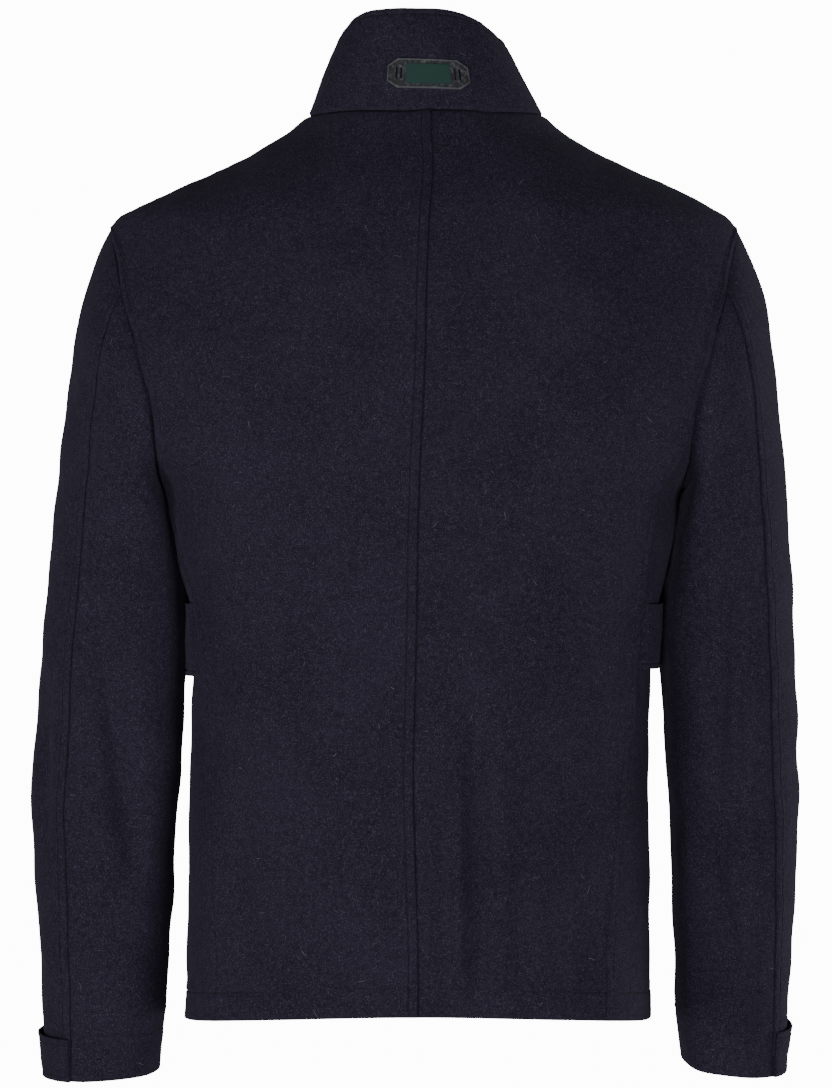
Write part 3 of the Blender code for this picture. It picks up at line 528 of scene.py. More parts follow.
# The main folds, where the solids have them. The cloth has them deeper, by fold_share.
BODY_FOLD_RADIUS = 176 * MM
SLEEVE_FOLD_RADIUS = 58 * MM
BODY_FOLDS = (
    Fold(-1, 76.8, -430, 75.8, -700, 9, 4.6),
    Fold(-1, 70.8, -430, 69.5, -690, 11, -2.8),
    Fold(-1, 83.8, -520, 83.5, -700, 7, 2.6),
    Fold(-1, 80.2, -500, 79.6, -695, 7, -1.6),
    Fold(-1, 62, -560, 58, -715, 12, -1.8),
    Fold(-1, 50, -560, 50, -715, 16, 3.0),
    Fold(1, 44, -500, 46, -720, 18, 2.8),
    Fold(1, 60, -400, 66, -560, 24, -1.4),
    Fold(1, -60, -420, -58, -700, 16, 3.0),
    Fold(-1, -64, -450, -60, -715, 16, 2.8),
    Fold(1, -48, -200, -60, -330, 15, 2.0),
    Fold(-1, -46, -210, -58, -340, 15, 2.0),
)
SLEEVE_FOLDS = (
    Fold(1, 78, 195, 122, 410, 10, 5.2),
    Fold(1, 112, 190, 124, 340, 13, -2.2),
    Fold(1, 30, 255, 40, 395, 12, 4.0),
    Fold(1, 118, 60, 60, 128, 12, 2.0),
    Fold(-1, 84, 200, 98, 380, 10, 5.0),
    Fold(-1, 122, 190, 116, 345, 13, -2.2),
    Fold(-1, 122, 350, 92, 470, 11, 3.2),
    Fold(-1, 112, 50, 64, 120, 12, 2.2),
    Fold(1, -70, 190, -112, 330, 14, 3.4),
    Fold(-1, -74, 200, -108, 345, 14, 3.2),
)

# The sleeves' rounded corners behind, beside the body.
SLEEVE_CORNERS = (
    Fold(1, 138, 30, 135, 600, 19, -3.8),
    Fold(-1, 138, 30, 135, 600, 19, -3.8),
)

# Where the sleeves lie against the body, from the armpit down to the flap.
SLEEVE_PRESS = (
    Fold(1, 182, -4, 182, 80, 26, -3.4),
    Fold(1, 182, 20, 182, 262, 26, -2.5),
    Fold(1, 182, 80, 182, 175, 22, -1.4),
    Fold(-1, 182, -4, 182, 80, 26, -3.4),
    Fold(-1, 182, 20, 182, 268, 26, -2.8),
    Fold(-1, 182, 90, 182, 215, 24, -1.9),
)


class BodyForm:
    """One side of the body: level ovals about a middle that leans with height."""

    def __init__(self, side: Side) -> None:
        self.side = side

    def point(self, angle: Array, height: Array) -> Array:
        """The surface: a unit oval in each direction, times the ring's half width and its depth.

        Args:
            angle: the direction from this side to the back or the front, in degrees.
            height: the height, in metres.

        Returns:
            Points in metres.
        """
        angle, height = np.broadcast_arrays(angle, height)
        mm = height / MM
        across, along = oval(angle, BODY("round", mm))
        depth = np.where(along > 0, BODY("back", mm), BODY("front", mm))
        x = self.side.value * across * BODY("half_width", mm) + BODY("lean", mm)
        return np.stack([x, along * depth, mm], axis=-1) * MM

    def out(self, angle: Array, height: Array) -> Array:
        """Unit normals that point out of the body.

        Args:
            angle: where, in degrees.
            height: where, in metres.

        Returns:
            One unit vector for each point.
        """
        return self.side.value * normals(self.point, angle, height)

    def lift(self, angle: Array, height: Array) -> Array:
        """The main folds and the front lap, as a distance outwards.

        Args:
            angle: where, in degrees.
            height: where, in metres.

        Returns:
            One distance for each point.
        """
        total = sum(f.lift(angle, height, BODY_FOLD_RADIUS) for f in BODY_FOLDS if f.side == self.side.value)
        total = CLOTH.fold_share * total * smooth_step(-75 * MM, -110 * MM, height)
        return total + np.where(angle < 0, self.lap_lift(angle, height), 0)

    def lap_lift(self, angle: Array, height: Array) -> Array:
        """How far the left front is lifted over the right one, which is pressed in by as much.

        Args:
            angle: where, in degrees.
            height: where, in metres.

        Returns:
            One distance for each point.
        """
        distance = abs(np.radians(angle + 90)) * BODY("half_width", height / MM) * MM
        past = np.where(angle < -90, 0, distance)
        near = 1 - smooth_step(BODY_SIZES.lap_width + 5 * MM, BODY_SIZES.lap_width + BODY_SIZES.lap_ease, past)
        return self.side.value * near * (CLOTH.wall + BODY_SIZES.lap_gap) / 2

    def armhole_angle(self, height: Array, facing: Facing) -> Array:
        """The angle of the armhole's line on the ring at each height.

        Args:
            height: the heights, in metres.
            facing: behind or in front.

        Returns:
            Angles in degrees, negative in front.
        """
        mm = height / MM
        reach = ARMHOLE("reach", mm)
        if facing is Facing.FRONT:
            reach = reach - ARMHOLE("front_cut", mm)
        roundness = BODY("round", mm)
        share = np.clip(reach / BODY("half_width", mm), -1, 1)
        along = (1 - abs(share) ** roundness) ** (1 / roundness)
        return facing.value * np.degrees(np.arctan2(along, share))

    def armhole_bottom(self, angle: Array) -> Array:
        """The height at which the armhole's lower stretch crosses each angle.

        Args:
            angle: the angles, in degrees.

        Returns:
            Heights in metres.
        """
        low = BODY_SIZES.armpit_height
        heights = np.linspace(low, low + BODY_SIZES.armpit_reach, CURVE_SAMPLES)
        behind = np.interp(angle, self.armhole_angle(heights, Facing.BACK), heights)
        before = np.interp(-angle, -self.armhole_angle(heights, Facing.FRONT), heights)
        return np.where(angle >= 0, behind, before)

    def side_back_angle(self, height: Array) -> Array:
        """The side-back seam's angle at each height, in degrees.

        Args:
            height: the heights, in metres.

        Returns:
            Angles in degrees.
        """
        return BACK_SEAMS(f"side_{self.side.word}", height / MM)

    def centre_back_angle(self, height: Array) -> Array:
        """The centre-back seam's angle at each height, seen from this side, in degrees.

        Args:
            height: the heights, in metres.

        Returns:
            Angles in degrees.
        """
        return 90 + self.side.value * BACK_SEAMS("centre", height / MM)

    @staticmethod
    def front_edge_angle(height: Array) -> Array:
        """The angle of the front's edge, one lap width past the middle of the front, in degrees.

        Args:
            height: the heights, in metres.

        Returns:
            Angles in degrees.
        """
        return -90 - np.degrees(np.arctan(BODY_SIZES.lap_width / MM / BODY("half_width", height / MM)))

    @staticmethod
    def neck_height(angle: Array) -> Array:
        """The neckline's height: level behind and dropping in front with a power of the sine.

        Args:
            angle: where, in degrees.

        Returns:
            Heights in metres.
        """
        drop = np.maximum(-np.sin(np.radians(angle)), 0) ** BODY_SIZES.neck_curve
        return -BODY_SIZES.front_neck_drop * drop

    @staticmethod
    def hem_height(angle: Array) -> Array:
        """The hem's height, a little higher behind and lower in front.

        Args:
            angle: where, in degrees.

        Returns:
            Heights in metres.
        """
        sine = np.sin(np.radians(angle))
        rise = BODY_SIZES.back_hem_rise * np.maximum(sine, 0) ** 2
        return BODY_SIZES.side_hem_height + rise - BODY_SIZES.front_hem_drop * np.minimum(sine, 0) ** 2

    def crossing(self, facing: Facing) -> float:
        """The height where the side seam behind or in front runs into the armhole.

        Args:
            facing: behind or in front.

        Returns:
            The height in metres.
        """
        low = BODY_SIZES.armpit_height
        heights = np.linspace(low, low + BODY_SIZES.armpit_reach, CURVE_SAMPLES)
        seam = self.side_back_angle(heights) if facing is Facing.BACK else -BODY_SIZES.side_front_angle
        return float(heights[np.argmax(abs(self.armhole_angle(heights, facing)) >= seam)])


class SleeveForm:
    """One sleeve: ovals between its outer and its inner line, which start as the armhole itself."""

    def __init__(self, side: Side) -> None:
        self.side = side
        self.table = SLEEVES[side.value]

    def point(self, angle: Array, station: Array) -> Array:
        """The surface: each oval spans its outer and inner line and its depth, and over the sleeve's
        head it is blended into the ring where the armhole's line lies on the body. A station under 0
        lies that far under the body, straight across from the armhole.

        Args:
            angle: the direction from the outer line to the back (90), in degrees.
            station: the way down the sleeve's middle, in metres.

        Returns:
            Points in metres.
        """
        angle, station = np.broadcast_arrays(angle, station)
        under, station = np.minimum(station, 0), np.maximum(station, 0)
        side, table, mm = self.side.value, self.table, station / MM
        across, along = oval(angle, SLEEVE.roundness)
        outer = np.stack([table("outer_x", mm), table("outer_z", mm)])
        inner = np.stack([table("inner_x", mm), table("inner_z", mm)])
        x, z = (outer + inner) / 2 + (outer - inner) / 2 * across
        y = table("middle_y", mm) + along * table("half_depth", mm)
        z = z - along * table("drop", mm)

        start_z = (table("outer_z", 0) + table("inner_z", 0)) / 2
        start_z = start_z + (table("outer_z", 0) - table("inner_z", 0)) / 2 * across
        cut = np.where(along < 0, ARMHOLE("front_cut", start_z), 0)
        start_x = ARMHOLE("reach", start_z) - cut
        roundness = BODY("round", start_z)
        share = np.clip(start_x / BODY("half_width", start_z), 0, 1)
        depth = np.where(along > 0, BODY("back", start_z), BODY("front", start_z))
        start_y = np.sign(along) * depth * (1 - share**roundness) ** (1 / roundness)
        start_x = start_x + side * BODY("lean", start_z)
        at_armhole = 1 - smooth_step(0, SLEEVE.head_reach, station)
        x = x + (start_x - x) * at_armhole
        y = y + (start_y - y) * at_armhole
        z = z + (start_z - z) * at_armhole
        return np.stack([side * (x + under / MM), y, z], axis=-1) * MM

    def out(self, angle: Array, station: Array) -> Array:
        """Unit normals that point out of the sleeve.

        Args:
            angle: where, in degrees.
            station: where, in metres.

        Returns:
            One unit vector for each point.
        """
        return -self.side.value * normals(self.point, angle, station)

    def lift(self, angle: Array, station: Array) -> Array:
        """The sleeve's folds, as a distance outwards. They keep clear of the armhole, behind which the
        sleeve dips into a gutter beside its seam.

        Args:
            angle: where, in degrees.
            station: where, in metres.

        Returns:
            One distance for each point.
        """
        turned = (np.asarray(angle) + 150) % 360 - 150
        side, radius = self.side.value, SLEEVE_FOLD_RADIUS
        folds = SLEEVE_FOLDS + SLEEVE_CORNERS
        total = sum(f.lift(turned, station, radius) for f in folds if f.side == side)
        pressed = sum(f.lift(turned, station, radius) for f in SLEEVE_PRESS if f.side == side)
        gutter = np.exp(-(((station - CLOTH.gutter_place) / CLOTH.gutter_width) ** 2))
        behind = smooth_step(70, 118, turned) * (1 - smooth_step(168, 186, turned))
        sewn_in = CLOTH.gutter_depth * gutter * behind
        return CLOTH.fold_share * total * smooth_step(20 * MM, 60 * MM, station) + pressed - sewn_in

    def hind_seam(self, station: Array) -> Array:
        """The hind-arm seam's angle at each station, in degrees.

        Args:
            station: where, in metres.

        Returns:
            Angles in degrees.
        """
        return self.table("hind_seam", station / MM)


class CollarForm:
    """The stand collar, from the neckline (rise 0) to its top edge (rise 1). Its angles run all round,
    from the left side backwards."""

    def __init__(self) -> None:
        self.body = BodyForm(Side.LEFT)

    def point(self, angle: Array, rise: Array) -> Array:
        """The surface: straight lines from the neckline to the top edge, with a slight bulge.

        Args:
            angle: the direction, in degrees.
            rise: the share of the way up.

        Returns:
            Points in metres.
        """
        angle, rise = np.broadcast_arrays(angle, rise)
        seam = self.body.point(angle, self.body.neck_height(angle))
        across, along = oval(angle, COLLAR.roundness)
        depth = np.where(along > 0, COLLAR.top_back, COLLAR.top_front)
        x = COLLAR.top_shift + across * COLLAR.top_half_width
        top = np.stack([x, along * depth, COLLAR_EDGE("height", angle) * MM], axis=-1)
        point = seam + (top - seam) * rise[..., None]
        swell = 4 * rise * (1 - rise) * COLLAR.bulge
        return point + np.stack([across * swell, along * swell, 0 * swell], axis=-1)

    def out(self, angle: Array, rise: Array) -> Array:
        """Unit normals that point out of the collar.

        Args:
            angle: where, in degrees.
            rise: the share of the way up.

        Returns:
            One unit vector for each point.
        """
        return normals(self.point, angle, rise)

    def lift(self, angle: Array, rise: Array) -> Array:
        """The collar's right end is pressed in under its left end, as the fronts are.

        Args:
            angle: where, in degrees.
            rise: the share of the way up.

        Returns:
            One distance for each point.
        """
        height = self.body.neck_height(angle)
        left = BodyForm(Side.LEFT).lap_lift(angle, height) * (angle < 90)
        right = BodyForm(Side.RIGHT).lap_lift(180 - angle, height) * (angle >= 90)
        gap = BODY_SIZES.lap_gap
        return (left + right) * (CLOTH.collar_wall + gap) / (CLOTH.wall + gap) + 0 * rise


Form = BodyForm | SleeveForm | CollarForm


# ---------------------------------------------------------------- meshes


def grid_mesh(name: str, outer: Array, inner: Array) -> bpy.types.Mesh:
    """A closed shell between two grids of points.

    The outer grid's cells become faces, the inner grid's cells faces that look the other way, and a
    strip joins the two all the way round.

    Args:
        name: the mesh's name.
        outer: rows x columns x 3 points, metres.
        inner: the same of the inside.

    Returns:
        The mesh, its faces towards the outside.
    """
    rows, columns = outer.shape[:2]
    index = np.arange(rows * columns).reshape(rows, columns)
    under = index + rows * columns
    a, b, c, d = index[:-1, :-1], index[:-1, 1:], index[1:, 1:], index[1:, :-1]
    faces = [np.stack([a, b, c, d], axis=-1).reshape(-1, 4)]
    a, b, c, d = under[:-1, :-1], under[1:, :-1], under[1:, 1:], under[:-1, 1:]
    faces.append(np.stack([a, b, c, d], axis=-1).reshape(-1, 4))
    ring = np.concatenate([index[0, :-1], index[:-1, -1], index[-1, :0:-1], index[:0:-1, 0]])
    after = np.roll(ring, -1)
    size = rows * columns
    faces.append(np.stack([ring, ring + size, after + size, after], axis=-1))
    quads = np.concatenate(faces)
    points = np.concatenate([outer.reshape(-1, 3), inner.reshape(-1, 3)])
    mesh = mesh_of(name, points, quads)
    centre = inner[rows // 2, columns // 2]
    middle = outer[rows // 2, columns // 2]
    cell = outer[rows // 2 : rows // 2 + 2, columns // 2 : columns // 2 + 2]
    looks = np.cross(cell[0, 1] - cell[0, 0], cell[1, 0] - cell[0, 0])
    if np.dot(looks, middle - centre) < 0:
        mesh.flip_normals()
    return mesh


def mesh_of(name: str, points: Array, faces: Array) -> bpy.types.Mesh:
    """A smooth-shaded mesh from whole arrays.

    Args:
        name: the mesh's name.
        points: n x 3 points, metres.
        faces: m x k corner numbers, k the same for all.

    Returns:
        The mesh.
    """
    mesh = bpy.data.meshes.new(name)
    corners = faces.shape[1]
    mesh.vertices.add(len(points))
    mesh.vertices.foreach_set("co", np.ascontiguousarray(points, np.float32).ravel())
    mesh.loops.add(faces.size)
    mesh.loops.foreach_set("vertex_index", np.ascontiguousarray(faces, np.int32).ravel())
    mesh.polygons.add(len(faces))
    mesh.polygons.foreach_set("loop_start", np.arange(0, faces.size, corners, dtype=np.int32))
    mesh.polygons.foreach_set("loop_total", np.full(len(faces), corners, np.int32))
    mesh.update(calc_edges=True)
    mesh.shade_smooth()
    return mesh


def add_object(name: str, mesh: bpy.types.Mesh, material: bpy.types.Material) -> bpy.types.Object:
    """Links a mesh into the scene with one material.

    Args:
        name: the object's name.
        mesh: its mesh.
        material: its material.

    Returns:
        The object, at the origin.
    """
    mesh.materials.clear()
    mesh.materials.append(material)
    obj = bpy.data.objects.new(name, mesh)
    bpy.context.scene.collection.objects.link(obj)
    return obj


def travelled(points: Array, axis: int) -> Array:
    """The distance along the rows or columns of a grid, from its first point.

    Args:
        points: rows x columns x 3 points.
        axis: 0 down the columns, 1 along the rows.

    Returns:
        rows x columns distances.
    """
    steps = np.linalg.norm(np.diff(points, axis=axis), axis=-1)
    start = np.zeros_like(np.take(steps, [0], axis=axis))
    return np.concatenate([start, np.cumsum(steps, axis=axis)], axis=axis)


def columns_between(
    surface: Surface, start: Array, end: Array, place: Array, near_start: Sequence[float], near_end: Sequence[float]
) -> Array:
    """Angles of a fine grid between two borders: columns at set distances beside each border, so that
    seams stay sharp, and even ones between them.

    Args:
        surface: the surface.
        start: rows x 1 angles of the first border.
        end: rows x 1 angles of the second border.
        place: rows x 1 places.
        near_start: distances from the first border, metres, rising from 0.
        near_end: distances from the second border, metres, rising from 0.

    Returns:
        rows x columns angles.
    """
    way = np.sign(end - start)
    first = start + way * turn_for(surface, start, place, 1.0) * np.array(near_start)
    last = end - way * turn_for(surface, end, place, 1.0) * np.array(near_end)[::-1]
    widths = np.linalg.norm(surface(last[:, :1], place) - surface(first[:, -1:], place), axis=-1)
    count = max(3, math.ceil(float(widths.max()) * 1.12 / CLOTH.spacing))
    share = np.linspace(0, 1, count + 1)[1:-1]
    middle = first[:, -1:] + (last[:, :1] - first[:, -1:]) * share
    return np.concatenate([first, middle, last], axis=1)


def near(stitch: float = 0.0, tucked: bool = False) -> tuple[float, ...]:
    """Distances of the columns beside a border: close at its turned edge and about a row of stitches.

    Args:
        stitch: how far from the border the row of stitches lies, or 0 for none.
        tucked: whether the piece goes on under its neighbour, past its seam.

    Returns:
        Distances in metres from the seam, from the piece's own end on.
    """
    edge = [-CLOTH.tuck / MM, -1.2, -0.6, -0.1, 0.5, 1.2, 2.2, 3.2] if tucked else [0, 0.12, 0.4, 0.85, 1.5, 2.6]
    groove = [stitch / MM + step for step in (-1.6, -0.9, -0.45, 0, 0.45, 0.9, 1.7, 3.0)] if stitch else [4.5]
    return tuple(distance * MM for distance in edge + groove)


def steps_between(start: float, end: float, spacing: float) -> Array:
    """Even places from one to another, both included, no further apart than the spacing.

    Args:
        start: the first place.
        end: the last place.
        spacing: the widest step.

    Returns:
        The places.
    """
    return np.linspace(start, end, max(2, math.ceil(abs(end - start) / spacing) + 1))


# ---------------------------------------------------------------- cloth


@dataclass(frozen=True)
class Edge:
    """How one border of a piece is made: the height of the band beside it and where its stitches run,
    both only between two places, or whether the piece goes on under its neighbour there."""

    stitch: float = 0.0
    welt: float = 0.0
    below: float = math.inf
    above: float = -math.inf
    tucked: bool = False

    @property
    def near(self) -> tuple[float, ...]:
        """Distances of the columns beside this border.

        Returns:
            Distances in metres.
        """
        return near(self.stitch, self.tucked)

    def sink(self, distance: Array) -> Array:
        """How deep a tucked piece dips under its neighbour: a smooth step at the seam.

        Args:
            distance: how far each point is from the seam, metres.

        Returns:
            One depth for each point.
        """
        if not self.tucked:
            return np.zeros_like(distance)
        return CLOTH.tuck_depth * (1 - smooth_step(-1.0 * MM, 1.4 * MM, distance))

    def lift(self, distance: Array, place: Array) -> Array:
        """The band beside this border: raised as far as its stitches, which press a narrow groove.

        Args:
            distance: how far each point is from the border, metres.
            place: the points' places, for the reach.

        Returns:
            One distance outwards for each point.
        """
        if not self.stitch:
            return np.zeros_like(distance)
        band = self.welt * (1 - smooth_step(self.stitch + 0.3 * MM, self.stitch + 2.4 * MM, distance))
        groove = CLOTH.groove_depth * np.exp(-(((distance - self.stitch) / CLOTH.groove_width) ** 2))
        within = smooth_step(self.above - 4 * MM, self.above, place) if self.above > -math.inf else 1.0
        if self.below < math.inf:
            within = within * (1 - smooth_step(self.below, self.below + 4 * MM, place))
        return (band - groove) * within


@dataclass
class StitchRows:
    """Rows of stitches gathered from the pieces, made into one mesh of short threads.

    Each stitch is a small capsule that lies in its groove along the row, a little sunk."""

    pitch: float = 2.9 * MM
    length: float = 2.05 * MM
    radius: float = 0.33 * MM
    rows: list[tuple[Array, Array]] = field(default_factory=list)

    def add(self, points: Array, out: Array) -> None:
        """Adds one row.

        Args:
            points: n x 3 points along the row, metres.
            out: the cloth's unit normals there.
        """
        self.rows.append((points, out))

    def build(self, name: str, material: bpy.types.Material) -> bpy.types.Object:
        """Makes the stitches: a capsule of six sides, set at even steps along every row.

        Args:
            name: the object's name.
            material: the thread's material.

        Returns:
            The object.
        """
        centres, ways, outs = [], [], []
        for points, out in self.rows:
            far = travelled(points[None], 1)[0]
            places = np.arange(self.pitch / 2, far[-1], self.pitch)
            middle = np.stack([np.interp(places, far, points[:, k]) for k in range(3)], axis=-1)
            ahead = np.stack([np.interp(places + 0.5 * MM, far, points[:, k]) for k in range(3)], axis=-1)
            facing = np.stack([np.interp(places, far, out[:, k]) for k in range(3)], axis=-1)
            whole = np.linalg.norm(ahead - middle, axis=1) > 0.1 * MM
            centres.append(middle[whole])
            ways.append((ahead - middle)[whole])
            outs.append(facing[whole])
        centre, way, out = (np.concatenate(part) for part in (centres, ways, outs))
        way = way / np.linalg.norm(way, axis=1, keepdims=True)
        beside = np.cross(out, way)
        beside /= np.linalg.norm(beside, axis=1, keepdims=True)
        out = np.cross(way, beside)

        turns = np.radians(np.arange(0, 360, 60))
        along = np.repeat(np.array([-0.36, 0, 0.36]) * self.length, 6)
        round_ = np.stack([np.cos(turns), np.sin(turns)], axis=-1) * self.radius
        ring = np.tile(round_, (3, 1)) * np.repeat([0.8, 1.0, 0.8], 6)[:, None]
        shape = np.column_stack([along, ring])
        tips = np.array([[-self.length / 2, 0, -self.radius], [self.length / 2, 0, -self.radius]])
        shape = np.concatenate([shape, tips])
        points = centre[:, None] + shape[:, :1] * way[:, None] + shape[:, 1:2] * beside[:, None]
        points = points + (shape[:, 2:] + 0.3 * self.radius) * out[:, None]

        k = np.arange(6)
        after = (k + 1) % 6
        sides = np.concatenate([np.stack([k + n, after + n, after + n + 6], axis=-1) for n in (0, 6)])
        sides = np.concatenate([sides] + [np.stack([k + n, after + n + 6, k + n + 6], axis=-1) for n in (0, 6)])
        low = np.stack([after, k, np.full(6, 18)], axis=-1)
        high = np.stack([k + 12, after + 12, np.full(6, 19)], axis=-1)
        faces = np.concatenate([sides, low, high])[:, ::-1]
        faces = (faces[None] + 20 * np.arange(len(centre))[:, None, None]).reshape(-1, 3)
        return add_object(name, mesh_of(name, points.reshape(-1, 3), faces), material)


@dataclass
class ClothPiece:
    """One piece of cloth: a shell on a form's surface between its borders.

    start and end are the borders at the first and last column, first and last those at the first and
    last row. lift is added to the form's own. dress fills in the grids: base is the plain surface, out
    its normals, outer and inner the two faces of the cloth. Flat sizes are measured on base."""

    name: str
    form: Form
    angle: Array
    place: Array
    wall: float = CLOTH.wall
    start: Edge = Edge()
    end: Edge = Edge()
    first: Edge = Edge()
    last: Edge = Edge()
    lift: Array | float = 0.0
    hangs_from: tuple[str, ...] = ()
    held: str = "hung"
    uneven: float = 1.0
    tuck_share: Array | float = 1.0
    base: Array | None = None
    out: Array | None = None
    outer: Array | None = None
    inner: Array | None = None

    def dress(self, stitches: StitchRows) -> None:
        """Works out the outside of the cloth and its rows of stitches.

        The outside is the surface moved outwards by the folds, by the raised bands and grooves beside
        its borders, by a gentle unevenness and by small puckers beside the stitches, less a quarter
        circle along each border where the cloth is turned.

        Args:
            stitches: gathers the rows.
        """
        base = self.base = self.form.point(self.angle, self.place)
        self.out = self.form.out(self.angle, self.place)
        low, left = travelled(base, 0), travelled(base, 1)
        ends = {"start": left, "end": left[:, -1:] - left, "first": low, "last": low[-1:] - low}
        distances = {name: far - CLOTH.tuck * getattr(self, name).tucked for name, far in ends.items()}
        plain = self.form.lift(self.angle, self.place) + self.lift
        plain = plain + CLOTH.unevenness * self.uneven * waves(base, 28 * MM, 90 * MM, 11)
        sunk = np.maximum.reduce([getattr(self, name).sink(far) for name, far in distances.items()])
        plain = plain - sunk * self.tuck_share
        total = plain
        nearest = np.full(base.shape[:2], math.inf)
        for border, distance in distances.items():
            edge = getattr(self, border)
            total = total + edge.lift(distance, self.place)
            if edge.stitch:
                nearest = np.minimum(nearest, abs(distance - edge.stitch))
        puckered = np.exp(-((nearest / CLOTH.pucker_reach) ** 2))
        total = total + CLOTH.pucker * puckered * waves(base, 6.5 * MM, 20 * MM, 23)
        border = np.minimum.reduce(list(ends.values()))
        radius = min(CLOTH.turned_radius, self.wall / 2 - 0.02 * MM)
        short = np.clip(radius - border, 0, radius)
        turned = radius - np.sqrt(radius**2 - short**2)
        self.outer = base + self.out * (total - turned)[..., None]
        self.inner = base + self.out * (plain - self.wall + turned)[..., None]
        for name, distance in distances.items():
            edge = getattr(self, name)
            if edge.stitch:
                self.add_row(stitches, edge, distance, name in ("start", "end"))

    def add_row(self, stitches: StitchRows, edge: Edge, distance: Array, down: bool) -> None:
        """Gathers the row of stitches beside one border.

        Args:
            stitches: gathers the rows.
            edge: the border.
            distance: each point's distance from it.
            down: whether the row runs down the grid's columns.
        """
        axis = 1 if down else 0
        at = np.argmin(abs(distance - edge.stitch), axis=axis)
        other = np.arange(distance.shape[1 - axis])
        pick = (other, at) if down else (at, other)
        place = np.broadcast_to(self.place, distance.shape)[pick]
        inside = (place <= edge.below) & (place >= edge.above)
        clear = np.minimum.reduce([d[pick] for d in self.other_distances(down)]) > 1.5 * MM
        keep = inside & clear
        if keep.sum() > 2:
            stitches.add(self.outer[pick][keep], self.out[pick][keep])

    def other_distances(self, down: bool) -> list[Array]:
        """Distances from the two borders that a row of stitches runs between.

        Args:
            down: whether the row runs down the columns.

        Returns:
            Two grids of distances, in metres.
        """
        far = travelled(self.base, 0 if down else 1)
        return [far, (far[-1:] if down else far[:, -1:]) - far]

    def cut(self) -> tuple[float, float, float]:
        """The piece's flat size before it was sewn, measured on the plain surface.

        Returns:
            Width, length and area, in metres and square metres.
        """
        width = float(travelled(self.base, 1)[:, -1].max())
        length = float(travelled(self.base, 0)[-1].max())
        across = self.base[1:, 1:] - self.base[:-1, :-1]
        back = self.base[1:, :-1] - self.base[:-1, 1:]
        area = float(np.linalg.norm(np.cross(across, back), axis=-1).sum() / 2)
        return width, length, min(area, width * length)

    def build(self, material: bpy.types.Material) -> bpy.types.Object:
        """Makes the piece, which stands for the solid of the same name.

        Args:
            material: the cloth's material.

        Returns:
            The object.
        """
        obj = add_object(f"cloth_{self.name}", grid_mesh(self.name, self.outer, self.inner), material)
        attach(obj, "root")
        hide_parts(self.name)
        return obj


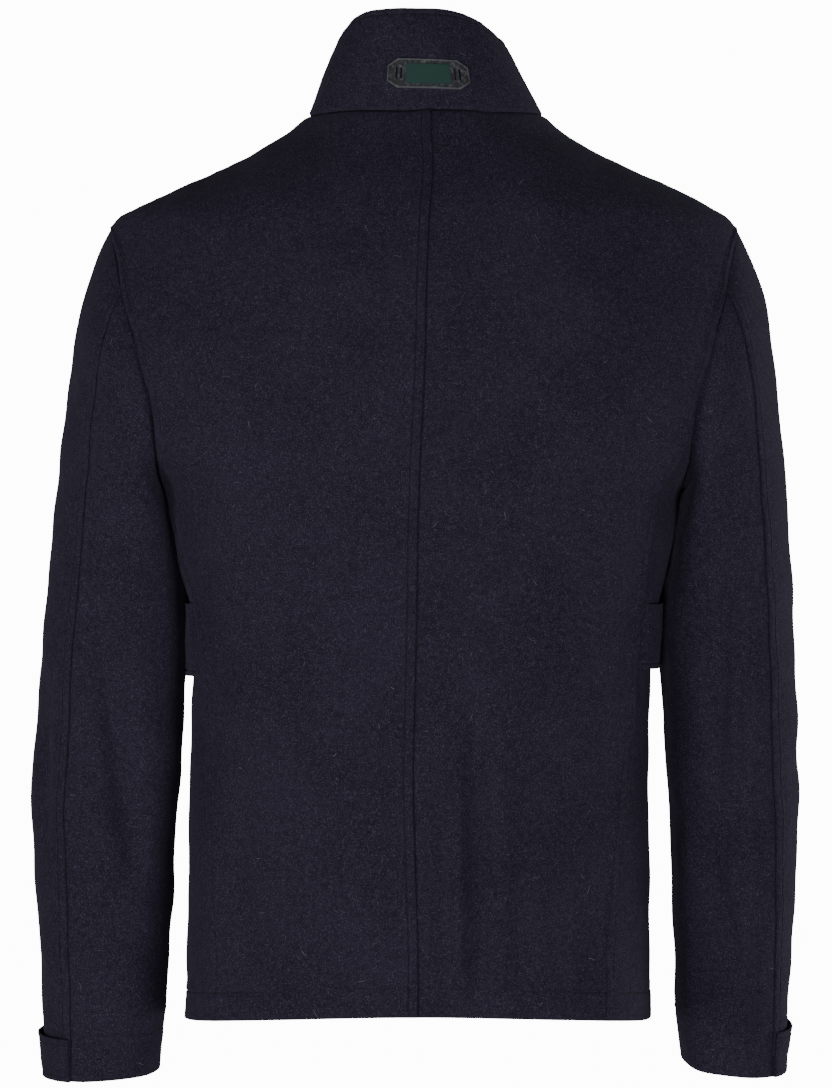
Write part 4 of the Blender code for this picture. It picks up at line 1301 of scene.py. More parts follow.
class Body:
    """The body's six panels: two backs, two fronts and two sides."""

    def __init__(self, side: Side) -> None:
        self.side = side
        self.form = BodyForm(side)

    def rows(self) -> Array:
        """Heights of the rows below the shoulder, close together at the hem's edge and its stitches.

        Returns:
            rows x 1 heights, in metres.
        """
        hem, sizes = BODY_SIZES.side_hem_height, CLOTH
        edge = np.array(near(sizes.hem_depth)) + hem
        low = steps_between(edge[5], edge[6], sizes.spacing)[1:-1]
        rest = steps_between(edge[-1], BODY_SIZES.tip_height, sizes.spacing)[1:]
        return np.concatenate([edge[:6], low, edge[6:], rest])[:, None]

    def warp(self, angle: Array, height: Array) -> Array:
        """Moves level rows onto the hem's own line, and lets the hem's stitches wander a little.

        Args:
            angle: rows x columns angles.
            height: rows x 1 heights.

        Returns:
            rows x columns heights.
        """
        hem = BODY_SIZES.side_hem_height
        fade = 1 - smooth_step(hem, hem + BODY_SIZES.hem_warp_reach, height)
        above = (height - hem) / CLOTH.hem_depth
        wander = CLOTH.hem_wander * np.maximum(np.sin(np.radians(angle)), -1) ** 3
        wander = wander * np.sin(math.pi / 2 * np.clip(above, 0, 2)) ** 2
        return height + (self.form.hem_height(angle) - hem) * fade + wander

    def main_panel(self, facing: Facing) -> ClothPiece:
        """A back or a front, from its armhole, side seam and shoulder seam to its middle.

        Args:
            facing: behind or in front.

        Returns:
            The piece, not yet dressed.
        """
        form, sizes, sign = self.form, BODY_SIZES, facing.value
        height = self.rows()
        low = form.crossing(facing)
        arm = abs(form.armhole_angle(np.clip(height, sizes.armpit_height, sizes.tip_height), facing))
        arm = np.where(height < low, 0, arm)
        back = facing is Facing.BACK
        seam = form.side_back_angle(height) if back else np.full_like(height, -sizes.side_front_angle)
        border = np.maximum(arm, np.where(height > low, 0, seam))
        middle = form.centre_back_angle(height) if back else -form.front_edge_angle(height)

        rise = steps_between(0, 1, 1 / 30)[1:, None]
        level = sizes.tip_height * (1 - rise)
        neck_level = sizes.tip_height - (sizes.tip_height + sizes.front_neck_drop) * rise
        top_border = sizes.shoulder_seam_turn * rise * sign
        top_middle = form.centre_back_angle(level) if back else -form.front_edge_angle(neck_level)

        start = Edge(CLOTH.sleeve_stitch, CLOTH.welt_height, below=sizes.tip_height)
        end = Edge(CLOTH.body_stitch, CLOTH.welt_height if back else CLOTH.front_welt)
        if back and self.side is Side.RIGHT:
            end = Edge(tucked=True)
        top_border = top_border - turn_for(form.point, sign * top_border, level, 0.4 * MM)
        starts = sign * np.vstack([border, top_border])
        ends = sign * np.vstack([middle, top_middle])
        places = np.vstack([height, level])
        angle = columns_between(form.point, starts, ends, places, start.near, end.near)
        rows = len(height)
        top = sizes.tip_height + (form.neck_height(angle[rows:]) - sizes.tip_height) * rise
        place = np.vstack([self.warp(angle[:rows], height), top])
        word = "back" if back else "front"
        return ClothPiece(
            f"{word}_{self.side.word}",
            form,
            angle,
            place,
            start=start,
            end=end,
            first=Edge(CLOTH.hem_depth, CLOTH.hem_welt),
            hangs_from=("cloth_collar",),
        )

    def side_panel(self) -> ClothPiece:
        """The side panel, whose rows bend up to the bottom of the armhole.

        Returns:
            The piece, not yet dressed.
        """
        form, sizes = self.form, BODY_SIZES
        height = self.rows()
        height = height[height[:, 0] < sizes.armpit_height - CLOTH.spacing]
        height = np.vstack([height, sizes.armpit_height - np.array(near())[::-1, None]])
        height = np.unique(height, axis=0)
        back = form.side_back_angle(height)
        front = np.full_like(back, sizes.side_front_angle)
        under = Edge(tucked=True)
        angle = columns_between(form.point, front, back, height, under.near, under.near)
        top = form.armhole_bottom(angle[-1])
        rise = smooth_step(sizes.flare_height, sizes.armpit_height, height)
        place = self.warp(angle, height + (top - sizes.armpit_height) * rise)
        name = f"side_{self.side.word}"
        hangs = (f"cloth_back_{self.side.word}", f"cloth_front_{self.side.word}")
        hem = Edge(CLOTH.hem_depth, CLOTH.hem_welt)
        return ClothPiece(name, form, angle, place, start=under, end=under, first=hem, hangs_from=hangs)


class Sleeve:
    """A two-piece sleeve with its cuff strap."""

    strap_widths = {Side.LEFT: 33 * MM, Side.RIGHT: 38 * MM}
    strap_end_angle = -84.0
    strap_corner = 10 * MM
    strap_lying_gap = 0.65 * MM
    strap_top_open = 1.6 * MM

    def __init__(self, side: Side) -> None:
        self.side = side
        self.form = SleeveForm(side)
        self.strap_width = self.strap_widths[side]
        self.cuff_depth = CLOTH.cuff_depth[side is Side.RIGHT]

    def rows(self) -> Array:
        """Stations of the rows, close together at the armhole, at the cuff's edge and its stitches.

        Returns:
            rows x 1 stations, in metres.
        """
        cuff = SLEEVE.length - np.array(near(self.cuff_depth))[::-1]
        head = np.array(near(tucked=True)[:-1])
        middle = steps_between(head[-1], cuff[0], CLOTH.spacing)[1:-1]
        hem = steps_between(cuff[-7], cuff[-6], CLOTH.spacing)[1:-1]
        return np.concatenate([head, middle, cuff[:-6], hem, cuff[-6:]])[:, None]

    def half(self, top_sleeve: bool) -> ClothPiece:
        """The top or the under half of the sleeve, from seam to seam.

        Args:
            top_sleeve: which half.

        Returns:
            The piece, not yet dressed.
        """
        station = self.rows()
        hind = self.form.hind_seam(station)
        front = np.full_like(hind, SLEEVE.front_seam)
        cuff = Edge(self.cuff_depth, CLOTH.cuff_welt)
        under = Edge(tucked=True)
        hangs = (f"cloth_back_{self.side.word}", f"cloth_front_{self.side.word}")
        if top_sleeve:
            welt = Edge(CLOTH.sleeve_stitch, CLOTH.welt_height)
            angle = columns_between(self.form.point, front, hind, station, near(), near(welt.stitch))
            tuck = 0.3 + 0.7 * smooth_step(0, 50, abs(angle))
            name = f"sleeve_top_{self.side.word}"
            return ClothPiece(
                name, self.form, angle, station, end=welt, first=under, last=cuff, hangs_from=hangs, tuck_share=tuck
            )
        angle = columns_between(self.form.point, hind, front + 360, station, under.near, under.near)
        name = f"sleeve_under_{self.side.word}"
        return ClothPiece(
            name, self.form, angle, station, start=under, end=under, first=under, last=cuff, hangs_from=hangs
        )

    def strap(self) -> ClothPiece:
        """The strap round the outer side of the cuff, square in the hind-arm seam and rounded at its
        free end.

        Returns:
            The piece, not yet dressed.
        """
        middle = SLEEVE.length - self.strap_width / 2
        start = float(self.form.hind_seam(SLEEVE.length))
        length = lengths_round(self.form.point, start, self.strap_end_angle, middle)[1][-1]
        distance = free_end_steps(length, self.strap_corner)
        angle = angles_at(self.form.point, start, self.strap_end_angle, middle, distance)
        off = corner_cut(length - distance, self.strap_corner)
        share = share_rows(self.strap_width)
        top = SLEEVE.length - self.strap_width + off
        station = top + (SLEEVE.length - off - top) * share
        angle = np.broadcast_to(angle, station.shape)
        lift = self.strap_lying_gap + CLOTH.strap_wall + self.strap_top_open * (1 - share) ** 1.5
        edge = Edge(CLOTH.edge_stitch, CLOTH.flap_welt)
        name = f"cuff_strap_{self.side.word}"
        hangs = (f"cloth_sleeve_top_{self.side.word}",)
        return ClothPiece(
            name,
            self.form,
            angle,
            station,
            wall=CLOTH.strap_wall,
            end=edge,
            first=edge,
            last=edge,
            lift=lift,
            hangs_from=hangs,
            held="laid",
        )


def lengths_round(surface: Surface, start: float, end: float, place: float) -> tuple[Array, Array]:
    """Angles from one to another and the distance round the surface to each.

    Args:
        surface: the surface.
        start: the first angle.
        end: the last angle.
        place: the place, in metres.

    Returns:
        Angles and distances.
    """
    angles = np.linspace(start, end, CURVE_SAMPLES)
    return angles, travelled(surface(angles, np.full_like(angles, place))[None], 1)[0]


def angles_at(surface: Surface, start: float, end: float, place: float, distances: Array) -> Array:
    """The angles at these distances from the start of a stretch round a surface.

    Args:
        surface: the surface.
        start: the first angle.
        end: an angle past the last distance.
        place: the place, in metres.
        distances: the distances.

    Returns:
        Angles in degrees.
    """
    angles, far = lengths_round(surface, start, end, place)
    return np.interp(distances, far, angles)


def free_end_steps(length: float, corner: float) -> Array:
    """Distances along a piece with a rounded far end: close together where its corners turn fastest.

    Args:
        length: the piece's length.
        corner: the corners' radius.

    Returns:
        Distances in metres.
    """
    end = corner * (1 - np.cos(np.linspace(0, math.pi / 2, 14)))
    start = np.array([0, 0.12, 0.4, 0.85, 1.5, 3.0, 6.0]) * MM
    middle = steps_between(start[-1], length - corner, 2.6 * MM)[1:-1]
    return np.concatenate([start, middle, length - end[::-1]])


def corner_cut(distance: Array, radius: float) -> Array:
    """How much a rounded corner takes off an edge at this distance from the piece's end.

    Args:
        distance: how far from the end, in metres.
        radius: the corner's radius.

    Returns:
        What is taken off, in metres.
    """
    short = np.clip(radius - distance, 0, radius)
    return radius - np.sqrt(radius**2 - short**2)


def share_rows(width: float) -> Array:
    """Rows across a narrow piece as shares of its width, close together at both edges.

    Args:
        width: the piece's width, in metres.

    Returns:
        rows x 1 shares.
    """
    edge = np.array(near(CLOTH.edge_stitch)) / width
    middle = steps_between(edge[-1], 1 - edge[-1], 2.6 * MM / width)[1:-1]
    return np.concatenate([edge, middle, 1 - edge[::-1]])[:, None]


class PocketFlap:
    """A hip pocket flap, which lies on the panels at its top and stands off at its lower edge."""

    length = 150 * MM
    heights = {Side.LEFT: 56 * MM, Side.RIGHT: 50 * MM}
    top = -375 * MM
    back_angles = {Side.LEFT: 20.5, Side.RIGHT: 26.5}
    corner = 9 * MM
    lying_gap = 0.65 * MM
    stand_off = 3.2 * MM
    stand_start = 35 * MM
    rear_sink = 2.5 * MM
    rear_reach = 7 * MM

    def __init__(self, side: Side) -> None:
        self.side = side
        self.form = BodyForm(side)

    def piece(self) -> ClothPiece:
        """The flap, from its rear end, square in the seam, to its rounded front end and from its lower
        edge up. It stands off more and more towards its front.

        Returns:
            The piece, not yet dressed.
        """
        distance = free_end_steps(self.length, self.corner)
        angle = angles_at(self.form.point, self.back_angles[self.side], -90, self.top, distance)
        from_end = self.length - distance
        top = self.top - corner_cut(from_end, self.corner / 2)
        height = self.heights[self.side]
        bottom = self.top - height + corner_cut(from_end, self.corner)
        share = share_rows(height)
        place = bottom + (top - bottom) * share
        stand_off = self.stand_off * smooth_step(0, self.stand_start, distance)
        sunk = self.rear_sink * (1 - smooth_step(0, self.rear_reach, distance))
        lift = self.lying_gap + CLOTH.flap_wall - sunk + stand_off * (1 - share) ** 1.5
        edge = Edge(CLOTH.edge_stitch, CLOTH.flap_welt)
        name = f"pocket_flap_{self.side.word}"
        return ClothPiece(
            name,
            self.form,
            np.broadcast_to(angle, place.shape),
            place,
            wall=CLOTH.flap_wall,
            end=edge,
            first=edge,
            lift=lift,
            hangs_from=(f"cloth_side_{self.side.word}", f"cloth_front_{self.side.word}"),
            held="laid",
        )


def collar_piece() -> ClothPiece:
    """The stand collar, from the left front's edge round the back to the right front's edge.

    Returns:
        The piece, not yet dressed.
    """
    form = CollarForm()
    edge_angle = float(BodyForm.front_edge_angle(np.array(-BODY_SIZES.front_neck_drop)))
    low = np.array(near(tucked=True)[:-1]) / COLLAR.back_height
    high = 1 - np.array(near(CLOTH.edge_stitch))[::-1] / COLLAR.back_height
    middle = steps_between(low[-1], high[0], 2.4 * MM / COLLAR.back_height)[1:-1]
    rise = np.concatenate([low, middle, high])[:, None]
    start = np.full_like(rise, edge_angle)
    columns = near(CLOTH.edge_stitch)
    angle = columns_between(form.point, start, 180 - start, rise, columns, columns)
    extra = steps_between(float(angle[0, len(columns) - 1]), float(angle[0, -len(columns)]), 0.9)[1:-1]
    angle = np.concatenate(
        [angle[:, : len(columns)], np.broadcast_to(extra, (len(rise), len(extra))), angle[:, -len(columns) :]], axis=1
    )
    edge = Edge(CLOTH.edge_stitch, CLOTH.collar_welt)
    return ClothPiece(
        "collar",
        form,
        angle,
        rise,
        wall=CLOTH.collar_wall,
        start=edge,
        end=edge,
        first=Edge(tucked=True),
        last=edge,
        uneven=0.6,
    )


# ---------------------------------------------------------------- buttons and fibres


class Button:
    """A turned four-hole button with a raised rim, sewn on with two bars of thread.

    Its outside is a profile, distance from the middle against height, turned round its own axis."""

    radius = 11.5 * MM
    thick = 4 * MM
    hole_radius = 1.05 * MM
    hole_spacing = 2.3 * MM
    sides = 64

    def __init__(self, node: str, scale: float) -> None:
        self.node = node
        self.scale = scale

    def place(self) -> Matrix:
        """Where the CAD button sits: its middle and the way it faces, from the solid's own points.

        Returns:
            The matrix from the button's own frame to the row's.
        """
        solid = bpy.data.objects[self.node]
        points = np.empty(len(solid.data.vertices) * 3)
        solid.data.vertices.foreach_get("co", points)
        points = points.reshape(-1, 3)
        centre = (points.min(axis=0) + points.max(axis=0)) / 2
        spread = np.linalg.svd(points - points.mean(axis=0))[2]
        out = spread[2] * np.sign(spread[2] @ (centre - np.array([0, 0, centre[2]])) or 1)
        if self.node.startswith("front"):
            out = out * -np.sign(out[1])
        up = Vector(out)
        base = Vector(centre) - up * self.thick * self.scale / 2
        return Matrix.Translation(base) @ up.to_track_quat("Z", "Y").to_matrix().to_4x4()

    def build(self, material: bpy.types.Material, thread: bpy.types.Material) -> list[bpy.types.Object]:
        """Makes the button and its thread.

        Args:
            material: the button's material.
            thread: the thread's material.

        Returns:
            The button and the thread.
        """
        profile = np.array(
            [(0.0, 0.02), (0.72, 0.0), (0.86, 0.08), (0.97, 0.3), (1.0, 0.52), (0.99, 0.78), (0.95, 0.93)]
            + [(0.89, 1.0), (0.83, 0.98), (0.77, 0.9), (0.7, 0.76), (0.6, 0.68), (0.4, 0.63), (0.0, 0.6)]
        )
        turns = np.linspace(0, 2 * math.pi, self.sides, endpoint=False)
        radius = profile[1:-1, 0, None] * self.radius
        ring = np.stack(
            [radius * np.cos(turns), radius * np.sin(turns), 0 * turns + profile[1:-1, 1, None] * self.thick], axis=-1
        )
        points = np.concatenate([ring.reshape(-1, 3), [[0, 0, y * self.thick] for y in profile[[0, -1], 1]]])
        rings, sides = ring.shape[:2]
        index = np.arange(rings * sides).reshape(rings, sides)
        after = np.roll(index, -1, axis=1)
        sets = [np.stack([index[:-1], after[:-1], after[1:]], -1), np.stack([index[:-1], after[1:], index[1:]], -1)]
        caps = [np.stack([after[0], index[0], np.full(sides, rings * sides)], -1)]
        caps.append(np.stack([index[-1], after[-1], np.full(sides, rings * sides + 1)], -1))
        faces = np.concatenate([s.reshape(-1, 3) for s in sets + caps])
        body = add_object(f"turned_{self.node}", mesh_of(self.node, points, faces), material)

        spots = self.hole_spacing * np.array([(-1, -1), (1, -1), (1, 1), (-1, 1)])
        drill = self.rods(f"drill_{self.node}", spots, self.hole_radius, (-self.thick, 2 * self.thick), material)
        drill.hide_render = True
        drill.hide_set(True)
        cut = body.modifiers.new("holes", "BOOLEAN")
        cut.operation = "DIFFERENCE"
        cut.solver = "EXACT"
        cut.object = drill
        graph = bpy.context.evaluated_depsgraph_get()
        drilled = bpy.data.meshes.new_from_object(body.evaluated_get(graph))
        body.modifiers.clear()
        body.data = drilled
        bpy.data.objects.remove(drill, do_unlink=True)
        drilled.shade_smooth()
        drilled.set_sharp_from_angle(angle=math.radians(40))

        bars = self.bars()
        sewn = add_object(f"thread_{self.node}", bars, thread)
        place = self.place() @ Matrix.Scale(self.scale, 4)
        for obj in (body, sewn):
            obj.data.transform(place)
            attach(obj, "root")
        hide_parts(self.node)
        return [body, sewn]

    @staticmethod
    def rods(
        name: str, spots: Array, radius: float, span: tuple[float, float], material: bpy.types.Material
    ) -> bpy.types.Object:
        """Upright rods of sixteen sides in one mesh.

        Args:
            name: the object's name.
            spots: their middles, n x 2.
            radius: their radius.
            span: their lowest and highest point.
            material: any material.

        Returns:
            The object.
        """
        sides = 16
        turns = np.linspace(0, 2 * math.pi, sides, endpoint=False)
        ring = np.stack([np.cos(turns), np.sin(turns)], -1) * radius
        flat = (np.asarray(spots)[:, None] + ring).reshape(-1, 2)
        count = len(flat)
        points = np.concatenate([np.column_stack([flat, np.full(count, z)]) for z in span])
        k = np.arange(count).reshape(-1, sides)
        after = np.roll(k, -1, axis=1)
        walls = np.stack([k, after, after + count, k + count], -1).reshape(-1, 4)
        mesh = bpy.data.meshes.new(name)
        caps = [row[::-1].tolist() for row in k] + [(row + count).tolist() for row in k]
        mesh.from_pydata(points.tolist(), [], walls.tolist() + caps)
        return add_object(name, mesh, material)

    def bars(self) -> bpy.types.Mesh:
        """Two bars of thread, each an arch of four strands from hole to hole: a circle of thread swept
        along half a sine.

        Returns:
            The mesh, in the button's own frame.
        """
        strands = [(x * self.hole_spacing + s * 0.42 * MM, s) for x in (-1, 1) for s in (-1.2, -0.4, 0.4, 1.2)]
        t = np.linspace(0, 1, 15)[:, None]
        turns = np.linspace(0, 2 * math.pi, 8, endpoint=False)
        points, faces = [], []
        for count, (x, step) in enumerate(strands):
            lift = (0.62 + 0.30 * np.sin(math.pi * t) - 0.35 * (2 * t - 1) ** 6) * self.thick
            middle_y = (2 * t - 1) * self.hole_spacing * 1.12
            r = 0.2 * MM
            ring = np.stack(
                [x + r * np.cos(turns) + 0 * t, middle_y + 0 * turns, lift + r * np.sin(turns)], axis=-1
            )
            points.append(ring.reshape(-1, 3))
            k = np.arange(ring.shape[0] * 8).reshape(-1, 8) + count * ring.shape[0] * 8
            after = np.roll(k, -1, axis=1)
            faces.append(np.stack([k[:-1], after[:-1], after[1:], k[1:]], -1).reshape(-1, 4))
        return mesh_of("bars", np.concatenate(points), np.concatenate(faces))


@dataclass(frozen=True)
class Fibres:
    """Loose pale fibres that lie in the nap: bent ribbons along seeded ways on the cloth."""

    count: int
    length: float
    width: float
    seed: int

    def build(self, name: str, pieces: Sequence[ClothPiece], material: bpy.types.Material) -> bpy.types.Object:
        """Scatters the fibres evenly over the pieces' outsides.

        Each is a ribbon of four steps: its middle line is an arc of a circle in the cloth's own plane,
        a little above it, and its half width tapers to both ends.

        Args:
            name: the object's name.
            pieces: the dressed pieces.
            material: the fibres' material.

        Returns:
            The object.
        """
        chance = np.random.RandomState(self.seed)
        centres, firsts, outs, areas = [], [], [], []
        for piece in pieces:
            grid = piece.outer
            across, down = grid[:-1, 1:] - grid[:-1, :-1], grid[1:, :-1] - grid[:-1, :-1]
            areas.append(np.linalg.norm(np.cross(across, down), axis=-1).ravel())
            centres.append(((grid[:-1, :-1] + grid[1:, 1:]) / 2).reshape(-1, 3))
            firsts.append(across.reshape(-1, 3))
            outs.append(piece.out[:-1, :-1].reshape(-1, 3))
        area, centre, first, out = (np.concatenate(part) for part in (areas, centres, firsts, outs))
        pick = chance.choice(len(area), self.count, p=area / area.sum())
        out = out[pick]
        first = first[pick] / np.linalg.norm(first[pick], axis=1, keepdims=True)
        second = np.cross(out, first)
        turn = chance.uniform(0, 2 * math.pi, self.count)[:, None]
        way = first * np.cos(turn) + second * np.sin(turn)
        beside = np.cross(out, way)
        at = centre[pick] + first * chance.uniform(-1.5, 1.5, (self.count, 1)) * MM
        length = self.length * chance.uniform(0.45, 1.3, (self.count, 1))
        bend = chance.normal(0, 0.9, (self.count, 1))
        t = np.linspace(-0.5, 0.5, 5)
        along = np.sin(bend * t) / np.where(abs(bend) < 0.05, 0.05, bend) * np.where(abs(bend) < 0.05, 0, 1)
        along = np.where(abs(bend) < 0.05, t, along) * length
        aside = (1 - np.cos(bend * t)) / np.where(abs(bend) < 0.05, 1, bend) * length
        raised = (0.16 + 0.34 * chance.uniform(size=(self.count, 1)) * (1 - (2 * t) ** 2)) * MM
        line = at[:, None] + along[..., None] * way[:, None] + aside[..., None] * beside[:, None]
        line = line + raised[..., None] * out[:, None]
        half = self.width / 2 * np.array([0.3, 0.9, 1.0, 0.9, 0.3])
        sides = np.stack([line - half[:, None] * beside[:, None], line + half[:, None] * beside[:, None]], axis=2)
        k = np.arange(4)
        quad = np.stack([2 * k, 2 * k + 1, 2 * k + 3, 2 * k + 2], -1)
        faces = (quad[None] + 10 * np.arange(self.count)[:, None, None]).reshape(-1, 4)
        obj = add_object(name, mesh_of(name, sides.reshape(-1, 3), faces), material)
        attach(obj, "root")
        return obj


# ---------------------------------------------------------------- finishes


def linear(colour: str) -> tuple[float, float, float, float]:
    """A colour as Blender takes it, from an sRGB hex.

    Args:
        colour: six hex digits.

    Returns:
        Linear red, green, blue and an alpha of 1.
    """
    parts = np.array([int(colour[i : i + 2], 16) for i in (0, 2, 4)]) / 255
    flat = np.where(parts <= 0.04045, parts / 12.92, ((parts + 0.055) / 1.055) ** 2.4)
    return (*(float(v) for v in flat), 1.0)


class Nodes:
    """A material's node tree, built one node at a time."""

    def __init__(self, name: str) -> None:
        self.material = bpy.data.materials.new(name)
        self.material.use_nodes = True
        self.tree = self.material.node_tree
        self.shader = self.tree.nodes["Principled BSDF"]

    def add(self, kind: str, settings: dict | None = None, **inputs: object) -> bpy.types.Node:
        """Adds a node, with its settings and inputs.

        Args:
            kind: the node's type.
            settings: attributes to set.
            inputs: values or other nodes' sockets, by the input's name with _ for a space, or by i and
                the input's number.

        Returns:
            The node.
        """
        node = self.tree.nodes.new(kind)
        for key, value in (settings or {}).items():
            setattr(node, key, value)
        self.put(node, **inputs)
        return node

    def put(self, node: bpy.types.Node, **inputs: object) -> None:
        """Sets or links a node's inputs.

        Args:
            node: the node.
            inputs: as in add.
        """
        for key, value in inputs.items():
            number = key[1:] if key[0] == "i" and key[1:].isdigit() else None
            socket = node.inputs[int(number)] if number else node.inputs[key.replace("_", " ")]
            if isinstance(value, bpy.types.NodeSocket):
                self.tree.links.new(value, socket)
            else:
                socket.default_value = value

    def noise(self, size: float, detail: float = 2.0, rough: float = 0.5, where: object = None) -> object:
        """A noise whose features are this size in metres.

        Args:
            size: the features' size.
            detail: finer octaves.
            rough: their strength.
            where: the coordinates, by default the object's own.

        Returns:
            The noise's output socket, about 0.5 on average.
        """
        where = where or self.add("ShaderNodeTexCoord").outputs["Object"]
        node = self.add("ShaderNodeTexNoise", Scale=1 / size, Detail=detail, Roughness=rough, Vector=where)
        return node.outputs["Fac"]

    def ramp(self, value: object, low: float, high: float) -> object:
        """0 where the value is under low, 1 where it is over high.

        Args:
            value: a socket.
            low: the lower limit.
            high: the upper limit.

        Returns:
            The output socket.
        """
        settings = {"interpolation_type": "SMOOTHSTEP"}
        node = self.add("ShaderNodeMapRange", settings, i0=value, i1=low, i2=high, i3=0.0, i4=1.0)
        return node.outputs[0]

    def mix(self, share: object, first: object, second: object, way: str = "MIX") -> object:
        """Mixes two colours.

        Args:
            share: the second's share, a socket or a number.
            first: a socket or a colour.
            second: the same.
            way: how they are mixed.

        Returns:
            The mixed colour's socket.
        """
        node = self.add("ShaderNodeMix", {"data_type": "RGBA", "blend_type": way}, i0=share, i6=first, i7=second)
        return node.outputs[2]

    def bump(self, height: object, distance: float, strength: float, under: object = None) -> object:
        """A bump of this height, over another one.

        Args:
            height: a socket from 0 to 1.
            distance: its full height, in metres.
            strength: how strongly it turns the light.
            under: another bump's output.

        Returns:
            The normal's socket.
        """
        node = self.add("ShaderNodeBump", Height=height, Distance=distance, Strength=strength)
        if under is not None:
            self.put(node, Normal=under)
        return node.outputs[0]


@dataclass(frozen=True)
class MilledWool:
    """Milled melton wool: felted short fibres, navy near to black, with paler hairs in the nap."""

    deep: str = "1E1A27"
    body: str = "2B2636"
    hair: str = "5B586A"
    sheen_tint: str = "8C88A0"

    def build(self) -> bpy.types.Material:
        """Mixes the felt's tones and bumps.

        The tone swings over hand-sized clouds of 60 mm and felted tufts of 4 mm. The hairs are 0.85 mm
        specks, where a fine noise is highest. Tufts of 2.4 mm and a nap of 0.8 mm make the bump.

        Returns:
            The material.
        """
        n = Nodes("milled melton wool")
        clouds = n.ramp(n.noise(60 * MM, 2), 0.3, 0.7)
        tufts = n.ramp(n.noise(4 * MM, 3, 0.6), 0.32, 0.68)
        tone = n.mix(tufts, linear(self.deep), linear(self.body))
        tone = n.mix(0.35, tone, n.mix(clouds, linear(self.deep), linear(self.body)))
        hairs = n.ramp(n.noise(0.85 * MM, 3, 0.7), 0.5, 0.78)
        tone = n.mix(hairs, tone, linear(self.hair))
        rough = n.bump(n.noise(2.4 * MM, 4, 0.65), 0.6 * MM, 0.6)
        rough = n.bump(n.noise(0.8 * MM, 3, 0.7), 0.34 * MM, 0.7, rough)
        n.put(n.shader, Base_Color=tone, Roughness=0.95, Normal=rough)
        n.put(n.shader, Specular_IOR_Level=0.12, Sheen_Weight=0.16, Sheen_Roughness=0.45)
        n.put(n.shader, Sheen_Tint=linear(self.sheen_tint))
        return n.material


@dataclass(frozen=True)
class SewingThread:
    """Twisted sewing thread, near black: partly its own dark colour and partly painted shade of the grooves it lies
    in. Strands seen as fine bands across it.
    """

    name: str = "twisted sewing thread"
    # Near black: the thread's own dark colour, darkened further as painted shade for the grooves the stitches lie in.
    colour: str = "08070C"
    light: str = "15131C"

    def build(self) -> bpy.types.Material:
        """Bands of 0.25 mm for the twist, with a soft gloss.

        Returns:
            The material.
        """
        n = Nodes(self.name)
        twist = n.noise(0.25 * MM, 1)
        n.put(n.shader, Base_Color=n.mix(twist, linear(self.colour), linear(self.light)))
        n.put(n.shader, Roughness=0.6, Normal=n.bump(twist, 0.08 * MM, 0.5), Specular_IOR_Level=0.3)
        return n.material


@dataclass(frozen=True)
class PaleFibre:
    """A loose hair or a bit of lint in the nap."""

    colour: str = "8A8794"

    def build(self) -> bpy.types.Material:
        """Pale and matt, its tone swinging from hair to hair over 20 mm.

        Returns:
            The material.
        """
        n = Nodes("pale wool fibre")
        tone = n.mix(n.ramp(n.noise(20 * MM, 2), 0.35, 0.65), linear("4A4856"), linear(self.colour))
        n.put(n.shader, Base_Color=tone, Roughness=0.8, Specular_IOR_Level=0.2)
        return n.material


@dataclass(frozen=True)
class MouldedRubber:
    """Moulded matt rubber with a fine grain, paler dust in patches and a painted highlight on its sharp edges."""

    name: str
    colour: str
    # The pale colour of the dust patches, also painted on the sharp edges as a highlight.
    worn: str
    roughness: float = 0.55

    def build(self) -> bpy.types.Material:
        """A grain of 0.35 mm in the bump, paler dust where a 3 mm noise is high, and the same pale colour painted as
        a highlight where the pointiness is high, on the edges.

        Returns:
            The material.
        """
        n = Nodes(self.name)
        # Painted highlight: the pale colour on the sharp edges stands in for light catching the rim.
        edge_highlight = n.ramp(n.add("ShaderNodeNewGeometry").outputs["Pointiness"], 0.52, 0.62)
        dust = n.ramp(n.noise(3 * MM, 3, 0.6), 0.45, 0.75)
        tone = n.mix(dust, linear(self.colour), linear(self.worn))
        tone = n.mix(edge_highlight, tone, linear(self.worn))
        n.put(n.shader, Base_Color=tone, Roughness=self.roughness, Specular_IOR_Level=0.45)
        n.put(n.shader, Normal=n.bump(n.noise(0.35 * MM, 2), 0.06 * MM, 0.5))
        return n.material


@dataclass(frozen=True)
class TurnedHorn:
    """Dark horn-like plastic of a turned button: cloudy streaks under a satin polish."""

    def build(self) -> bpy.types.Material:
        """Clouds of 5 mm between two dark browns, and a fine turning grain in the bump.

        Returns:
            The material.
        """
        n = Nodes("dark horn plastic")
        clouds = n.ramp(n.noise(5 * MM, 3, 0.6), 0.35, 0.7)
        n.put(n.shader, Base_Color=n.mix(clouds, linear("141217"), linear("2A2422")))
        n.put(n.shader, Roughness=0.34, Normal=n.bump(n.noise(0.5 * MM, 2), 0.02 * MM, 0.4))
        return n.material


# ---------------------------------------------------------------- studio


@dataclass(frozen=True)
class Lamp:
    """A soft rectangular light: where it stands, its width and height in metres and its watts."""

    name: str
    place: tuple[float, float, float]
    size: tuple[float, float]
    power: float


LAMPS = (
    Lamp("front", (0.7, 4.3, -1.3), (2.0, 1.4), 82),
    Lamp("key", (3.3, 2.0, -0.9), (1.1, 1.6), 46),
    Lamp("fill", (-2.3, 3.3, -1.1), (1.4, 1.6), 52),
    Lamp("rim_right", (-2.6, -0.9, -0.3), (0.9, 2.2), 36),
    Lamp("rim_left", (2.7, -0.9, -0.3), (0.9, 2.2), 8),
)


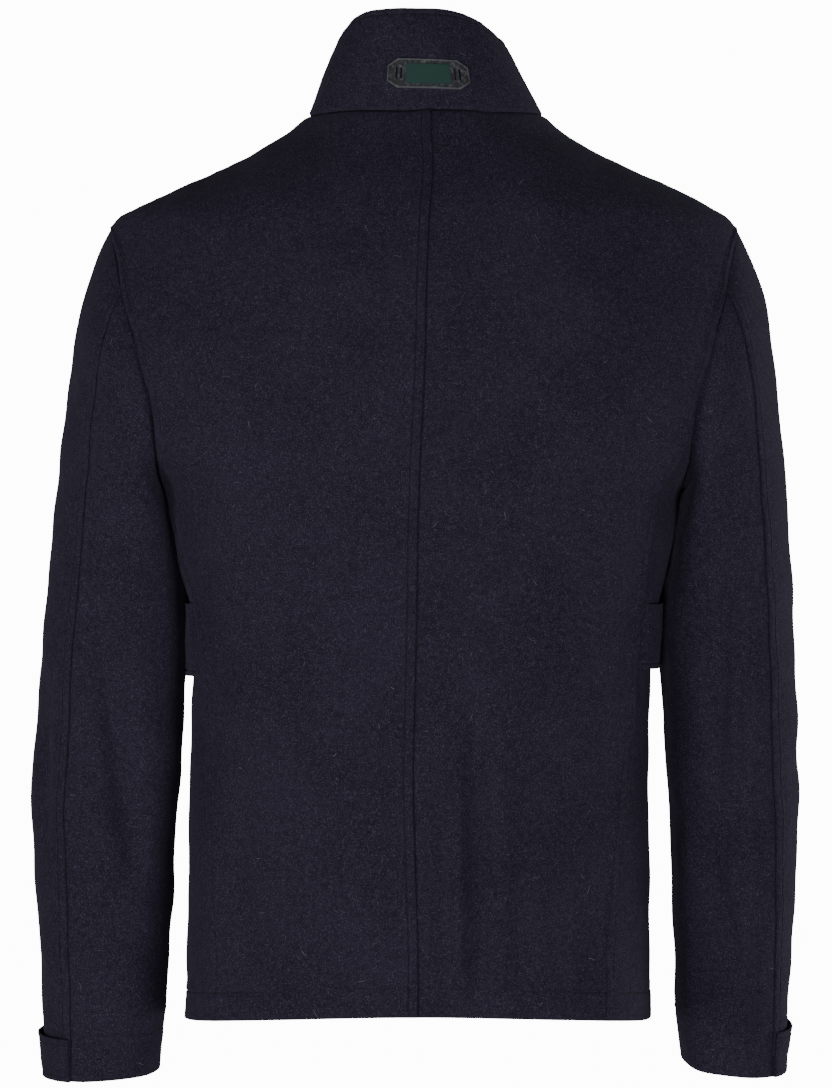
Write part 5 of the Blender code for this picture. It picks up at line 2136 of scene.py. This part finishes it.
@dataclass(frozen=True)
class Studio:
    """The camera of the photograph, a white room with a pale floor and soft lights."""

    distance: float = 4.0
    middle: tuple[float, float] = (0.0015, -0.3299)
    pixel: float = 0.77 * MM
    frame: tuple[int, int] = (832, 1088)
    floor_height: float = -1.15
    room_radius: float = 9.0
    room_curve: float = 1.2
    room_top: float = 6.0
    glow: float = 13.0
    sky: float = 0.05
    aim: tuple[float, float, float] = (0, 0, -0.4)

    def camera(self) -> None:
        """A level camera straight behind the coat, whose frame is the photograph's at the coat."""
        data = bpy.data.cameras.new("camera")
        data.lens = data.sensor_width * self.distance / (self.frame[1] * self.pixel)
        data.clip_end = 50
        camera = bpy.data.objects.new("camera", data)
        camera.location = (self.middle[0], self.distance, self.middle[1])
        camera.rotation_euler = (math.radians(90), 0, math.radians(180))
        bpy.context.scene.collection.objects.link(camera)
        bpy.context.scene.camera = camera

    def light(self, lamp: Lamp) -> None:
        """Hangs one light, turned towards the coat.

        Args:
            lamp: the light.
        """
        data = bpy.data.lights.new(lamp.name, "AREA")
        data.shape = "RECTANGLE"
        data.size, data.size_y = lamp.size
        data.energy = lamp.power
        obj = bpy.data.objects.new(lamp.name, data)
        obj.location = lamp.place
        obj.rotation_euler = (Vector(self.aim) - Vector(lamp.place)).to_track_quat("-Z", "Y").to_euler()
        bpy.context.scene.collection.objects.link(obj)

    def backdrop(self) -> None:
        """A round white room with a pale floor: a level line, a quarter circle and an upright line,
        turned round the Z axis. It glows, and throws neither light nor shadow on the coat."""
        turn = np.radians(np.linspace(0, 90, 16))
        straight = self.room_radius - self.room_curve
        radius = np.concatenate([[0.01], straight + self.room_curve * np.sin(turn), [self.room_radius]])
        curve_z = self.floor_height + self.room_curve * (1 - np.cos(turn))
        height = np.concatenate([[self.floor_height], curve_z, [self.room_top]])
        round_ = np.radians(np.linspace(0, 360, 96, endpoint=False))[:, None]
        points = np.stack([radius * np.cos(round_), radius * np.sin(round_), height + 0 * round_], -1)
        k = np.arange(points[..., 0].size).reshape(points.shape[:2])
        after = np.roll(k, -1, axis=0)
        quads = np.stack([k[:, :-1], k[:, 1:], after[:, 1:], after[:, :-1]], -1).reshape(-1, 4)
        n = Nodes("white studio paper")
        paper = n.mix(n.noise(1.0, 2), linear("F4F4F4"), linear("FBFBFB"))
        n.put(n.shader, Base_Color=paper, Roughness=0.9)
        n.put(n.shader, Emission_Color=(1, 1, 1, 1), Emission_Strength=self.glow)
        obj = add_object("studio_room", mesh_of("studio_room", points.reshape(-1, 3), quads), n.material)
        obj.visible_diffuse = False
        obj.visible_glossy = False
        obj.visible_shadow = False
        obj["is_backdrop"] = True

    def build(self) -> None:
        """Sets up the camera, the room, the sky and the lights."""
        self.camera()
        self.backdrop()
        world = bpy.data.worlds.new("soft studio light")
        world.use_nodes = True
        sky = world.node_tree.nodes["Background"]
        sky.inputs["Color"].default_value = (1, 1, 1, 1)
        sky.inputs["Strength"].default_value = self.sky
        bpy.context.scene.world = world
        for lamp in LAMPS:
            self.light(lamp)


# ---------------------------------------------------------------- the coat


class Overcoat:
    """All the pieces, in the order in which they are sewn together."""

    def __init__(self, frame: dict) -> None:
        self.frame = frame
        self.stitches = StitchRows()
        self.wool = MilledWool().build()
        self.thread = SewingThread().build()
        self.pieces: list[ClothPiece] = []

    def cloth(self) -> None:
        """Builds every piece of cloth and its rows of stitches."""
        for side in Side:
            body = Body(side)
            sleeve = Sleeve(side)
            self.pieces += [body.main_panel(Facing.BACK), body.main_panel(Facing.FRONT), body.side_panel()]
            self.pieces += [sleeve.half(True), sleeve.half(False), sleeve.strap(), PocketFlap(side).piece()]
        self.pieces.append(collar_piece())
        for piece in self.pieces:
            piece.dress(self.stitches)
            piece.build(self.wool)
        sewn = self.stitches.build("topstitching", self.thread)
        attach(sewn, "root")
        LOG.info("topstitching: %d faces", len(sewn.data.polygons))

    def trims(self) -> None:
        """Builds the buttons and gives the badge its moulded finishes."""
        horn = TurnedHorn().build()
        for node in self.frame["nodes"]:
            if "button" in node:
                scale = 0.74 if node.startswith("cuff") else 1.0
                made = Button(node, scale).build(horn, self.thread)
                LOG.info("%s: %d faces", made[0].name, len(made[0].data.polygons))
        # The third colour is the dust and the painted edge highlight.
        grey = MouldedRubber("moulded grey rubber", "232427", "5A5C61")
        green = MouldedRubber("moulded green rubber", "0C2B25", "123A32", 0.6)
        for node, finish in (("badge_plate", grey), ("badge_inlay", green)):
            material = finish.build()
            for slot in self.frame["nodes"][node].material_slots:
                slot.material = material
            LOG.info("%s keeps its solid, with %s", node, material.name)

    def nap(self) -> None:
        """Scatters the loose fibres."""
        pale = PaleFibre().build()
        outside = [piece for piece in self.pieces if not piece.name.startswith("cuff")]
        for name, fibres in (
            ("nap_fibres", Fibres(9000, 3.0 * MM, 0.09 * MM, 5)),
            ("lint_fibres", Fibres(260, 6.0 * MM, 0.2 * MM, 8)),
        ):
            made = fibres.build(name, outside, pale)
            LOG.info("%s: %d faces", made.name, len(made.data.polygons))


def corners(box: tuple[Vector, Vector]) -> list[list[float]]:
    """A box as plain lists of numbers.

    Args:
        box: its lowest and its highest corner.

    Returns:
        Two lists of three numbers.
    """
    return [list(corner) for corner in box]


def main() -> None:
    """Loads the frame and builds the coat, piece by piece, and the studio round it."""
    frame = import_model()
    solid_box = corners(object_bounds())
    coat = Overcoat(frame)
    coat.cloth()
    coat.trims()
    coat.nap()
    Studio().build()
    bpy.context.view_layer.update()
    {"cad": solid_box, "visual": corners(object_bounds())}


if __name__ == "__main__":
    main()
